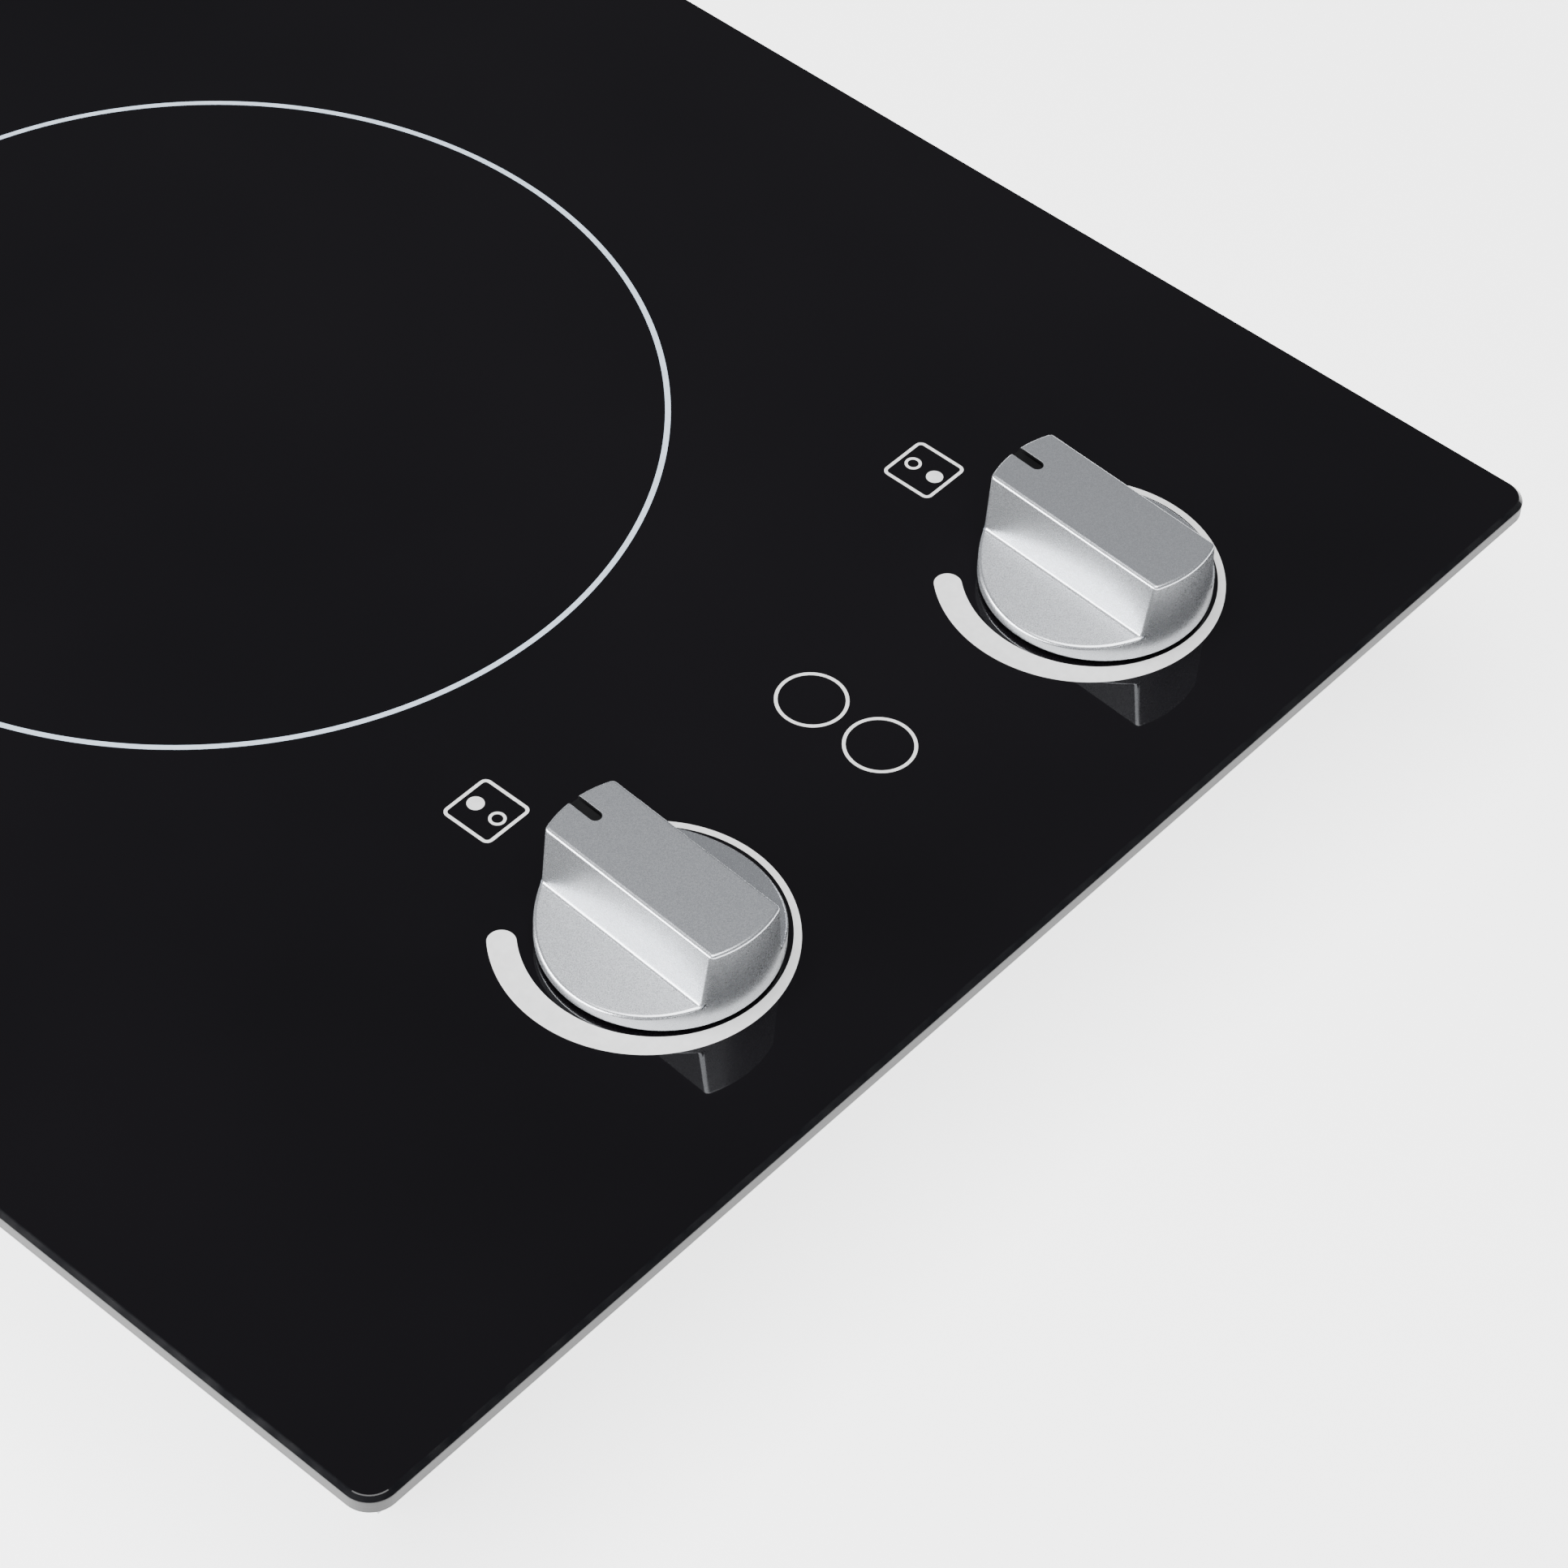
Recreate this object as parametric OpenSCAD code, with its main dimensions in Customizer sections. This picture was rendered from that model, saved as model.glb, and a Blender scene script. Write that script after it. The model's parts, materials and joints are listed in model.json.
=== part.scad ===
// Built-in glass-ceramic hob with two radiant zones and two knobs, in millimetres.
// Origin: middle of the pan's underside. +X right, +Y to the back, +Z up; the knobs are at the front.

/* [Glass] */
// Width of the glass
glass_w = 288; // [280:1:300]
// Depth of the glass, front to back
glass_d = 510; // [500:1:530]
// Thickness of the glass
glass_t = 4; // [3.5:0.1:5]
// Radius of the glass's corners in plan
glass_corner_r = 5; // [3:0.5:10]
// Ground bevel on the edges of the glass
glass_bevel = 0.8; // [0.4:0.1:1.2]

/* [Cooking zones] */
// Diameter of the front zone
front_zone_d = 165; // [145:5:165]
// Diameter of the rear zone
rear_zone_d = 180; // [165:5:180]
// Middle of the front zone, from the front edge
front_zone_from_front = 185; // [183:1:188]
// Middle of the rear zone, from the front edge
rear_zone_from_front = 383; // [381:1:386]
// Turn of the heat limiters about the middle of the zones
limiter_turn = -45; // [-50:5:-40]

/* [Controls] */
// Middle of the row of controls, to the right of the glass's middle
controls_x = 20; // [10:1:20]
// Distance between the two knobs
knob_spacing = 110; // [105:1:115]
// Middle of the printed power scales, from the front edge
knob_from_front = 44.5; // [44:0.5:46]
// Turn of the knobs at rest, clockwise from straight back
knob_rest_turn = 3; // [0:1:5]
// Radius of a knob at its skirt
knob_r = 20.2; // [19.8:0.1:21]
// Height of a knob's grip over the glass
knob_h = 16.9; // [15.5:0.1:18]
// Gap between a knob's skirt and the glass
knob_gap = 0.8; // [0.7:0.1:1.2]
// Width of the grip across its top
grip_w = 15.2; // [14:0.1:16]
// Angle that the printed power scale covers
scale_sweep = 262; // [240:1:280]

/* [Base pan] */
// Height from the pan's underside to the glass
pan_h = 44; // [43:1:46]
// Sheet thickness of the pan
sheet = 0.8; // [0.6:0.1:1]
// From the glass's edge to the pan's wall, at the top
pan_top_inset = 15; // [14:0.5:16]
// From the glass's edge to the pan's wall, at the bottom
pan_foot_inset = 22.5; // [21:0.5:24]
// Width of the flange that carries the glass
flange_w = 6.5; // [5:0.5:7]

/* [Terminal box] */
// Middle of the lid, to the right of the pan's middle
lid_x = 80; // [79:1:80]
// Width of the lid
lid_w = 32; // [30:1:32]
// Radius of the hole for the supply cable
cable_r = 5; // [4:0.5:5]

/* [Hidden] */
$fn = 64;
eps = 0.01;

// Levels
glass_z = pan_h;                        // underside of the glass
top_z = pan_h + glass_t;                // cooking surface
adhesive_t = 1;
flange_z = glass_z - adhesive_t - sheet;
seal_t = 2;
print_t = 0.08;

// Places in plan
front_y = -glass_d / 2;
print_y = front_y + knob_from_front;
print_xs = [controls_x - knob_spacing / 2, controls_x + knob_spacing / 2];
// the knobs sit a little off the middle of their printed scales
knob_off = [-0.6, -1.7];
knob_y = print_y + knob_off[1];
left_knob_x = print_xs[0] + knob_off[0];
right_knob_x = print_xs[1] + knob_off[0];
lamp_pitch = 15;
lamp_ys = [print_y, print_y + lamp_pitch];
front_zone_y = front_y + front_zone_from_front;
rear_zone_y = front_y + rear_zone_from_front;

// Pan walls: half sizes at the floor and at the top
pan_floor = [glass_w / 2 - pan_foot_inset, glass_d / 2 - pan_foot_inset];
pan_top = [glass_w / 2 - pan_top_inset, glass_d / 2 - pan_top_inset];
wall_h = flange_z + sheet;
wall_lean = atan((pan_top[0] - pan_floor[0]) / wall_h);
function wall_x(z) = pan_floor[0] + (pan_top[0] - pan_floor[0]) * z / wall_h;
function wall_y(z) = pan_floor[1] + (pan_top[1] - pan_floor[1]) * z / wall_h;

// Screws
m4_r = 2;
m4_head_r = 3.6;
m4_head_h = 2.2;
m3_r = 1.5;

// ---------------------------------------------------------------- shared shapes

// A bar with a closed outline in X and Z, from y0 to y1
module xz_bar(points, y0, y1) {
    translate([0, y1, 0]) rotate([90, 0, 0]) linear_extrude(height = y1 - y0) polygon(points);
}

// A bar with a closed outline in Y and Z, from x0 to x1
module yz_bar(points, x0, x1) {
    translate([x0, 0, 0]) rotate([90, 0, 90]) linear_extrude(height = x1 - x0) polygon(points);
}

// A box given by its lowest and highest corners
module box(low, high) {
    translate(low) cube(high - low);
}

// A flat plate with round corners, standing on z = 0
module round_plate(w, d, r, t) {
    box([-w / 2 + r, -d / 2, 0], [w / 2 - r, d / 2, t]);
    box([-w / 2, -d / 2 + r, 0], [w / 2, d / 2 - r, t]);
    for (x = [-1, 1], y = [-1, 1])
        translate([x * (w / 2 - r), y * (d / 2 - r), 0]) cylinder(h = t, r = r);
}

// A rectangular frame with round outer corners
module frame_plate(w, d, r, t, rim) {
    difference() {
        round_plate(w, d, r, t);
        box([-w / 2 + rim, -d / 2 + rim, -1], [w / 2 - rim, d / 2 - rim, t + 1]);
    }
}

// A block whose walls lean out by the pan's taper, with half sizes foot and top
module leaning_block(foot, top, z0, z1) {
    intersection() {
        xz_bar([[-foot[0], z0], [foot[0], z0], [top[0], z1], [-top[0], z1]], -glass_d, glass_d);
        yz_bar([[-foot[1], z0], [foot[1], z0], [top[1], z1], [-top[1], z1]], -glass_w, glass_w);
    }
}

// A pan-head screw with its head's seat at z = 0 and its shank pointing down
module screw(length, r = m4_r, head_r = m4_head_r, head_h = m4_head_h) {
    difference() {
        union() {
            translate([0, 0, -length]) cylinder(h = length + eps, r = r - 0.1, $fn = 32);
            rotate_extrude() polygon([
                [0, 0], [head_r, 0], [head_r, head_h * 0.5],
                [head_r * 0.8, head_h * 0.9], [head_r * 0.6, head_h], [0, head_h],
            ]);
        }
        for (turn = [0, 90]) rotate([0, 0, turn])
            box([-head_r * 0.6, -0.5, head_h * 0.45], [head_r * 0.6, 0.5, head_h + 1]);
    }
}

// A wire through a list of points, with eased bends
wire_sides = 8;
bend = 4;
function unit(v) = v / norm(v);
function across_next(u, along) = unit(u - (u * along) * along);
function eased(p) = concat([p[0]], [
    for (i = [1 : len(p) - 2])
        let (a = p[i - 1] - p[i], b = p[i + 1] - p[i])
        let (d = min(bend, norm(a) * 0.4, norm(b) * 0.4))
        let (q = p[i] + unit(a) * d, r = p[i] + unit(b) * d)
        for (t = [0, 0.5, 1]) q * (1 - t) * (1 - t) + p[i] * 2 * t * (1 - t) + r * t * t
], [p[len(p) - 1]]);

module wire(corners, r = 1.1) {
    p = eased(corners);
    n = len(p);
    along = [for (i = [0 : n - 1]) unit(p[min(i + 1, n - 1)] - p[max(i - 1, 0)])];
    // a direction across the wire, carried along it without twist
    across = [for (i = 0, u = unit(cross([0.6, 0.35, 0.72], along[0])); i < n;
        i = i + 1, u = across_next(u, along[min(i, n - 1)])) u];
    points = [for (i = [0 : n - 1])
        let (u = across[i], v = cross(along[i], u))
        for (k = [0 : wire_sides - 1])
            p[i] + r * (cos(360 * k / wire_sides) * u + sin(360 * k / wire_sides) * v)];
    faces = concat(
        [[for (k = [0 : wire_sides - 1]) k]],
        [for (i = [0 : n - 2], k = [0 : wire_sides - 1])
            let (a = i * wire_sides + k, b = i * wire_sides + (k + 1) % wire_sides)
            [a, a + wire_sides, b + wire_sides]],
        [for (i = [0 : n - 2], k = [0 : wire_sides - 1])
            let (a = i * wire_sides + k, b = i * wire_sides + (k + 1) % wire_sides)
            [a, b + wire_sides, b]],
        [[for (k = [wire_sides - 1 : -1 : 0]) (n - 1) * wire_sides + k]]);
    polyhedron(points = points, faces = faces);
}

// ---------------------------------------------------------------- glass and its print

module glass_edge_outline(half) {
    polygon([
        [-half + glass_bevel, 0], [half - glass_bevel, 0], [half, glass_bevel],
        [half, glass_t - glass_bevel], [half - glass_bevel, glass_t], [-half + glass_bevel, glass_t],
        [-half, glass_t - glass_bevel], [-half, glass_bevel],
    ]);
}

module glass_corner() {
    r = glass_corner_r;
    rotate_extrude() polygon([
        [0, 0], [r - glass_bevel, 0], [r, glass_bevel],
        [r, glass_t - glass_bevel], [r - glass_bevel, glass_t], [0, glass_t],
    ]);
}

spindle_hole_r = 6;

module glass_plate() color([0.03, 0.03, 0.035]) translate([0, 0, glass_z]) difference() {
    union() {
        translate([0, glass_d / 2 - glass_corner_r, 0]) rotate([90, 0, 0])
            linear_extrude(height = glass_d - 2 * glass_corner_r) glass_edge_outline(glass_w / 2);
        translate([-glass_w / 2 + glass_corner_r, 0, 0]) rotate([90, 0, 90])
            linear_extrude(height = glass_w - 2 * glass_corner_r) glass_edge_outline(glass_d / 2);
        for (x = [-1, 1], y = [-1, 1])
            translate([x * (glass_w / 2 - glass_corner_r), y * (glass_d / 2 - glass_corner_r), 0])
                glass_corner();
    }
    for (x = [left_knob_x, right_knob_x])
        translate([x, knob_y, -1]) cylinder(h = glass_t + 2, r = spindle_hole_r);
}

// A printed ring with outer radius r
module print_ring(r, line) {
    difference() {
        cylinder(h = print_t, r = r, $fn = 180);
        translate([0, 0, -1]) cylinder(h = print_t + 2, r = r - line, $fn = 180);
    }
}

module cooking_zone_rings() color([0.72, 0.79, 0.87]) {
    for (zone = [[front_zone_y, front_zone_d], [rear_zone_y, rear_zone_d]])
        translate([0, zone[0], top_z]) print_ring(zone[1] / 2 + 0.3, 1);
}

// Power scale: its inner edge is round the knob, its outer edge is a circle set off towards full power,
// and past the thinnest place the line keeps its width
scale_in_r = 22.1;
scale_out_r = 25.1;
scale_shift = 1.85;
scale_shift_dir = 153;
scale_start = 90 - (360 - scale_sweep) / 2;             // thin end, off side
scale_end = scale_start - scale_sweep;                  // thick end, full power
scale_steps = 60;
cap_steps = 8;
function polar(r, turn) = [r * cos(turn), r * sin(turn)];
// From the middle of the scale to its outer edge, in the direction turn
function scale_reach(turn) =
    let (past = turn > scale_shift_dir - 180, d = turn - scale_shift_dir)
    past ? scale_out_r - scale_shift
         : scale_shift * cos(d) + sqrt(pow(scale_out_r, 2) - pow(scale_shift * sin(d), 2));
// A half circle over an end of the line
function scale_cap(turn, way) =
    let (w = (scale_reach(turn) - scale_in_r) / 2)
    [for (k = [1 : cap_steps - 1])
        let (a = 180 * k / cap_steps)
        polar(scale_in_r + w, turn)
            + w * (cos(a) * way * polar(1, turn) + sin(a) * polar(1, turn - way * 90))];

module scale_outline() {
    turns = [for (k = [0 : scale_steps]) scale_start - scale_sweep * k / scale_steps];
    polygon(concat(
        [for (t = turns) polar(scale_reach(t), t)],
        scale_cap(scale_end, 1),
        [for (k = [scale_steps : -1 : 0]) polar(scale_in_r, turns[k])],
        scale_cap(scale_start, -1)));
}

module power_scales() color([0.88, 0.88, 0.88]) {
    for (x = print_xs)
        translate([x, print_y, top_z]) linear_extrude(height = print_t) scale_outline();
}

// Zone symbols: a square with a full dot for the zone that the knob drives and a ring for the other
symbol_w = 10.5;
symbol_line = 0.6;
symbol_from_scale = 37.1;
dot_r = 1.45;
dot_y = 2.45;

module zone_symbol(driven) {
    difference() {
        round_plate(symbol_w, symbol_w, 1.4, print_t);
        translate([0, 0, -1])
            round_plate(symbol_w - 2 * symbol_line, symbol_w - 2 * symbol_line, 0.8, print_t + 2);
    }
    translate([0, driven * dot_y, 0]) cylinder(h = print_t, r = dot_r, $fn = 48);
    translate([0, -driven * dot_y, 0]) print_ring(dot_r, 0.55);
}

module zone_symbols() color([0.88, 0.88, 0.88]) {
    translate([print_xs[0], print_y + symbol_from_scale, top_z]) zone_symbol(1);
    translate([print_xs[1], print_y + symbol_from_scale, top_z]) zone_symbol(-1);
}

module lamp_circles() color([0.88, 0.88, 0.88]) {
    for (y = lamp_ys) translate([controls_x, y, top_z]) print_ring(6.25, 0.55);
}

// ---------------------------------------------------------------- pan, seal and fixings

module worktop_seal() color([0.16, 0.16, 0.17]) {
    outer = [glass_w / 2 - 3.5, glass_d / 2 - 3.5];
    strip_w = 4;
    z0 = glass_z - seal_t;
    for (s = [-1, 1]) {
        translate([0, s * (outer[1] - strip_w / 2), z0 + seal_t / 2])
            cube([2 * outer[0], strip_w, seal_t], center = true);
        translate([s * (outer[0] - strip_w / 2), 0, z0 + seal_t / 2])
            cube([strip_w, 2 * (outer[1] - strip_w) - 0.4, seal_t], center = true);
    }
}

flange_size = [2 * (pan_top[0] + flange_w), 2 * (pan_top[1] + flange_w)];

module glass_adhesive() color([0.1, 0.1, 0.1]) {
    inset = 1;
    translate([0, 0, glass_z - adhesive_t])
        frame_plate(flange_size[0] - 2 * inset, flange_size[1] - 2 * inset, 5, adhesive_t, flange_w - inset);
}

bead_h = 1.5;
bead_w = 8;
bead_ys = [-150, 30, 190];
bead_half = 70;

// A pressed bead in the floor, seen from inside as a ridge: grow is the sheet's thickness or nothing
module bead(y, grow) {
    translate([0, y, -1]) round_plate(
        2 * (bead_half + grow), bead_w + 2 * grow, bead_w / 2 + grow - eps, 1 + bead_h + grow);
}

module wall_vents() {
    for (group = [-196, 150], i = [0 : 6])
        translate([0, group + i * 7, 22]) cube([glass_w, 3, 13], center = true);
}

module floor_vents() {
    for (x = [-27, 27], i = [0 : 3])
        translate([x, -221 + i * 8, 0]) cube([46, 3, 6], center = true);
}

box_low = [60, 212, sheet];
box_high = [118, 242, 29];
clip_ys = [-130, 90];
clip_screw_drop = 7;

// Puts its children on the outside of a side wall, at its top: -Z runs down the wall and +X points out
module on_side_wall(side, y) {
    mirror([side < 0 ? 1 : 0, 0, 0])
        translate([wall_x(flange_z), y, flange_z]) rotate([0, wall_lean, 0]) children();
}

module base_pan() color([0.62, 0.64, 0.66]) difference() {
    inner_floor = pan_floor - [sheet, sheet];
    inner_top = pan_top - [sheet, sheet];
    union() {
        difference() {
            leaning_block(pan_floor, pan_top, 0, wall_h);
            leaning_block(inner_floor, inner_top, sheet, wall_h + eps);
        }
        translate([0, 0, flange_z]) difference() {
            round_plate(flange_size[0], flange_size[1], 6, sheet);
            box([-inner_top[0], -inner_top[1], -1], [inner_top[0], inner_top[1], 2]);
        }
        for (y = bead_ys) intersection() {
            bead(y, sheet);
            box([-200, -300, 0], [200, 300, 10]);
        }
    }
    for (y = bead_ys) bead(y, 0);
    wall_vents();
    floor_vents();
    box([box_low[0] - 0.2, box_high[1] - 16, box_low[2]], [box_high[0] + 0.2, 300, box_high[2] + 0.2]);
    for (s = [-1, 1], y = clip_ys) on_side_wall(s, y)
        translate([-3, 0, -clip_screw_drop]) rotate([0, 90, 0]) cylinder(h = 6, r = m4_r - 0.1);
    for (p = concat(bracket_feet, bridge_feet, shield_feet, box_feet, [earth_at]))
        translate([p[0], p[1], -1]) cylinder(h = 4, r = m4_r - 0.1);
}

// Spring clip outline: u runs down the wall, v out from it
clip_w = 24;
clip_t = 0.8;
clip_path = [[1.5, 0], [13, 0], [22, 6], [26, 6], [34, 0.8]];

module spring_clip() {
    points = concat(
        [for (p = clip_path) [p[1], -p[0]]],
        [for (i = [len(clip_path) - 1 : -1 : 0])
            [clip_path[i][1] + clip_t, -clip_path[i][0] - (i == 4 ? 0.3 : 0)]]);
    difference() {
        xz_bar(points, -clip_w / 2, clip_w / 2);
        translate([-1, 0, -clip_screw_drop]) rotate([0, 90, 0]) cylinder(h = 4, r = m4_r + 0.1);
    }
}

module spring_clips() color([0.5, 0.52, 0.54]) {
    for (s = [-1, 1], y = clip_ys) on_side_wall(s, y) spring_clip();
}

module clip_screws() color([0.75, 0.76, 0.78]) {
    for (s = [-1, 1], y = clip_ys) on_side_wall(s, y)
        translate([clip_t, 0, -clip_screw_drop]) rotate([0, 90, 0]) screw(6, head_r = 3.2, head_h = 2);
}

// ---------------------------------------------------------------- heat shield

shield_y = -176;
shield_half = 104;
shield_feet = [[-90, shield_y - 6], [90, shield_y - 6]];
shield_t = 0.8;

module heat_shield() color([0.72, 0.73, 0.74]) difference() {
    union() {
        box([-shield_half, shield_y, sheet], [shield_half, shield_y + shield_t, flange_z - 1]);
        box([-shield_half, shield_y - 12, sheet], [shield_half, shield_y + shield_t, sheet + shield_t]);
    }
    for (p = shield_feet) translate([p[0], p[1], 0]) cylinder(h = 5, r = m4_r + 0.1);
    for (x = [-60, 95]) translate([x, shield_y, 12]) cube([14, 6, 12], center = true);
    box([-55, shield_y - 1, 10], [-25, shield_y + 2, 16]);
}

// ---------------------------------------------------------------- control bracket and screws

bracket_z = 34;
bracket_t = 1;
bracket_x = [controls_x - 90, controls_x + 90];
bracket_feet = [[bracket_x[0] + 7, knob_y], [bracket_x[1] - 7, knob_y]];
regulator_screw_x = 14;

module control_bracket() color([0.7, 0.71, 0.73]) difference() {
    union() {
        box([bracket_x[0], knob_y - 20, bracket_z], [bracket_x[1], knob_y + 26, bracket_z + bracket_t]);
        for (s = [0, 1]) {
            leg = s == 0 ? [bracket_x[0], bracket_x[0] + bracket_t]
                : [bracket_x[1] - bracket_t, bracket_x[1]];
            foot = s == 0 ? [bracket_x[0], bracket_x[0] + 13] : [bracket_x[1] - 13, bracket_x[1]];
            box([leg[0], knob_y - 8, sheet], [leg[1], knob_y + 8, bracket_z + bracket_t]);
            box([foot[0], knob_y - 8, sheet], [foot[1], knob_y + 8, sheet + bracket_t]);
        }
    }
    for (p = bracket_feet) translate([p[0], p[1], 0]) cylinder(h = 4, r = m4_r + 0.1);
    for (x = [left_knob_x, right_knob_x]) {
        translate([x, knob_y, bracket_z - 1]) cylinder(h = 4, r = spindle_r + 1.5);
        for (s = [-1, 1]) translate([x + s * regulator_screw_x, knob_y, bracket_z - 1])
            cylinder(h = 4, r = m4_r + 0.1);
    }
    translate([controls_x - 4, print_y + lamp_pitch / 2 - 14, bracket_z - 1]) cube([8, 28, 4]);
}

bridge_feet = [[-102, front_zone_y], [102, front_zone_y], [-102, rear_zone_y], [102, rear_zone_y]];
box_feet = [[box_low[0] + 50, box_low[1] + 7]];
earth_at = [50, 224];

module floor_screws() color([0.75, 0.76, 0.78]) {
    for (p = shield_feet) translate([p[0], p[1], sheet + shield_t]) screw(sheet + shield_t);
    for (p = bracket_feet) translate([p[0], p[1], sheet + bracket_t]) screw(sheet + bracket_t);
    for (p = bridge_feet) translate([p[0], p[1], sheet + bridge_t]) screw(sheet + bridge_t);
    for (p = box_feet) translate([p[0], p[1], sheet + box_t]) screw(sheet + box_t);
}

// ---------------------------------------------------------------- knobs, spindles and seals

spindle_r = 3;
spindle_foot = 17;
shelf_in_h = 5.6;                       // shelf beside the grip, over the glass
shelf_out_h = 3;                        // shelf at the skirt
grip_foot_w = grip_w + 2.6;
knob_top_r = knob_r - 0.1;
hub_r = 4.8;
spindle_top = knob_gap + 10.5;
flat_depth = 1.2;

// Places its children on a knob's axis with z = 0 at the glass, turned to the position at rest
module at_knob(x) {
    translate([x, knob_y, top_z]) rotate([0, 0, -knob_rest_turn]) children();
}

// The spindle's section: round with a flat
module spindle_shape(r) {
    difference() {
        circle(r = r);
        translate([r - flat_depth, -r]) square([flat_depth + 1, 2 * r]);
    }
}

pointer_w = 2.2;
pointer_l = 6.2;
pointer_deep = 1.4;

module pointer_outline(grow, past) {
    translate([-pointer_w / 2 - grow, 0]) square([pointer_w + 2 * grow, past]);
    circle(r = pointer_w / 2 + grow, $fn = 32);
}

pointer_y = knob_top_r - pointer_l + pointer_w / 2;

// Half of the section across the grip: shelf falling to the skirt, and the grip's side
function knob_side(s) = [
    [s * (knob_r + 1), shelf_out_h - (shelf_in_h - shelf_out_h) / (knob_r - grip_foot_w / 2)],
    [s * grip_foot_w / 2, shelf_in_h],
    [s * (grip_w / 2 + 0.5), shelf_in_h + 3],
    [s * grip_w / 2, knob_h - 0.6],
    [s * (grip_w / 2 - 0.6), knob_h],
];

module knob() {
    right = knob_side(1);
    left = knob_side(-1);
    difference() {
        intersection() {
            xz_bar(concat([[-knob_r - 1, knob_gap], [knob_r + 1, knob_gap]], right,
                [for (i = [len(left) - 1 : -1 : 0]) left[i]]), -30, 30);
            rotate_extrude($fn = 128) polygon([
                [0, knob_gap], [knob_r - 0.5, knob_gap], [knob_r, knob_gap + 0.5],
                [knob_r, shelf_in_h], [knob_top_r, knob_h - 0.6], [knob_top_r - 0.6, knob_h], [0, knob_h],
            ]);
        }
        // hollow underside round the hub
        difference() {
            union() {
                translate([0, 0, knob_gap - 1]) cylinder(h = 1 + 1.2, r = knob_r - 1.4, $fn = 96);
                box([-5.6, -14.5, knob_gap], [5.6, 14.5, knob_h - 3]);
            }
            translate([0, 0, knob_gap + 0.4]) cylinder(h = knob_h, r = hub_r);
        }
        translate([0, 0, knob_gap - 1]) linear_extrude(height = spindle_top - knob_gap + 1.2)
            spindle_shape(spindle_r + 0.05);
        translate([0, pointer_y, knob_h - pointer_deep]) linear_extrude(height = 4) pointer_outline(0, 20);
    }
}

module pointer() {
    intersection() {
        translate([0, pointer_y, knob_h - pointer_deep]) linear_extrude(height = 0.5)
            pointer_outline(0, 20);
        cylinder(h = knob_h, r = knob_top_r, $fn = 128);
    }
}

// Steel ring that closes the slotted hub on the spindle's flat
module knob_spring() {
    translate([0, 0, knob_gap + 3]) difference() {
        cylinder(h = 5, r = hub_r + 0.6);
        translate([0, 0, -1]) cylinder(h = 7, r = hub_r);
        box([-1, 0, -1], [1, 10, 7]);
    }
}

// z = 0 is the glass's top: the shaft, its switching cam with a stop nose, and the flat for the knob
cam_z = spindle_foot + 4 - top_z;

module spindle() {
    difference() {
        union() {
            translate([0, 0, spindle_foot - top_z])
                cylinder(h = spindle_top + top_z - spindle_foot, r = spindle_r);
            translate([0, 0, cam_z]) cylinder(h = 6, r = 8);
            translate([0, 0, cam_z]) linear_extrude(height = 6) polygon([
                [-1.6, -6], [1.6, -6], [1.6, -10], [-1.6, -10]]);
        }
        translate([spindle_r - flat_depth, -10, knob_gap]) cube([5, 20, 20]);
    }
}

module spindle_seal(x) {
    translate([x, knob_y, 0]) difference() {
        union() {
            translate([0, 0, glass_z - 1.5]) cylinder(h = 1.5, r = 8.5);
            translate([0, 0, glass_z - eps]) cylinder(h = glass_t + 0.4, r = spindle_hole_r - 0.02);
        }
        translate([0, 0, glass_z - 5]) cylinder(h = 20, r = spindle_r + 0.08);
    }
}

module left_knob() color([0.72, 0.73, 0.74]) at_knob(left_knob_x) knob();
module right_knob() color([0.72, 0.73, 0.74]) at_knob(right_knob_x) knob();
module left_pointer() color([0.05, 0.05, 0.05]) at_knob(left_knob_x) pointer();
module right_pointer() color([0.05, 0.05, 0.05]) at_knob(right_knob_x) pointer();
module left_knob_spring() color([0.6, 0.62, 0.64]) at_knob(left_knob_x) knob_spring();
module right_knob_spring() color([0.6, 0.62, 0.64]) at_knob(right_knob_x) knob_spring();
module left_spindle() color([0.8, 0.8, 0.78]) at_knob(left_knob_x) spindle();
module right_spindle() color([0.8, 0.8, 0.78]) at_knob(right_knob_x) spindle();
module left_spindle_seal() color([0.08, 0.08, 0.08]) spindle_seal(left_knob_x);
module right_spindle_seal() color([0.08, 0.08, 0.08]) spindle_seal(right_knob_x);

// ---------------------------------------------------------------- energy regulators and lamps

case_w = 40;
case_z0 = 11;
case_top = bracket_z - 1;
cavity_r = 11;
tab_ys = [-10, -3, 4, 11];

// side is -1 for tabs to the left, +1 for tabs to the right
module regulator_case(x, side) {
    translate([x, knob_y, 0]) difference() {
        box([-case_w / 2, -18, case_z0], [case_w / 2, 18, case_top]);
        difference() {
            translate([0, 0, case_z0 + 2]) cylinder(h = 40, r = cavity_r);
            // stop for the cam's nose
            rotate(-67.5) box([8.6, -1.2, 0], [20, 1.2, spindle_foot + 12]);
            translate([0, 0, case_z0]) cylinder(h = spindle_foot + 3.5 - case_z0, r = 6);
        }
        translate([0, 0, spindle_foot - 0.5]) cylinder(h = 10, r = spindle_r + 0.08);
        for (s = [-1, 1]) translate([s * regulator_screw_x, 0, case_top - 6])
            cylinder(h = 10, r = m3_r + 0.3);
        for (y = tab_ys) translate([side * case_w / 2, y, case_z0 + 5]) cube([12.1, 1.1, 6.5], center = true);
    }
}

module regulator_plate(x) {
    translate([x, knob_y, 0]) difference() {
        box([-case_w / 2, -18, case_top], [case_w / 2, 18, bracket_z]);
        translate([0, 0, 20]) cylinder(h = 20, r = spindle_r + 0.08);
        for (s = [-1, 1]) translate([s * regulator_screw_x, 0, 20]) cylinder(h = 20, r = m4_r + 0.1);
    }
}

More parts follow.
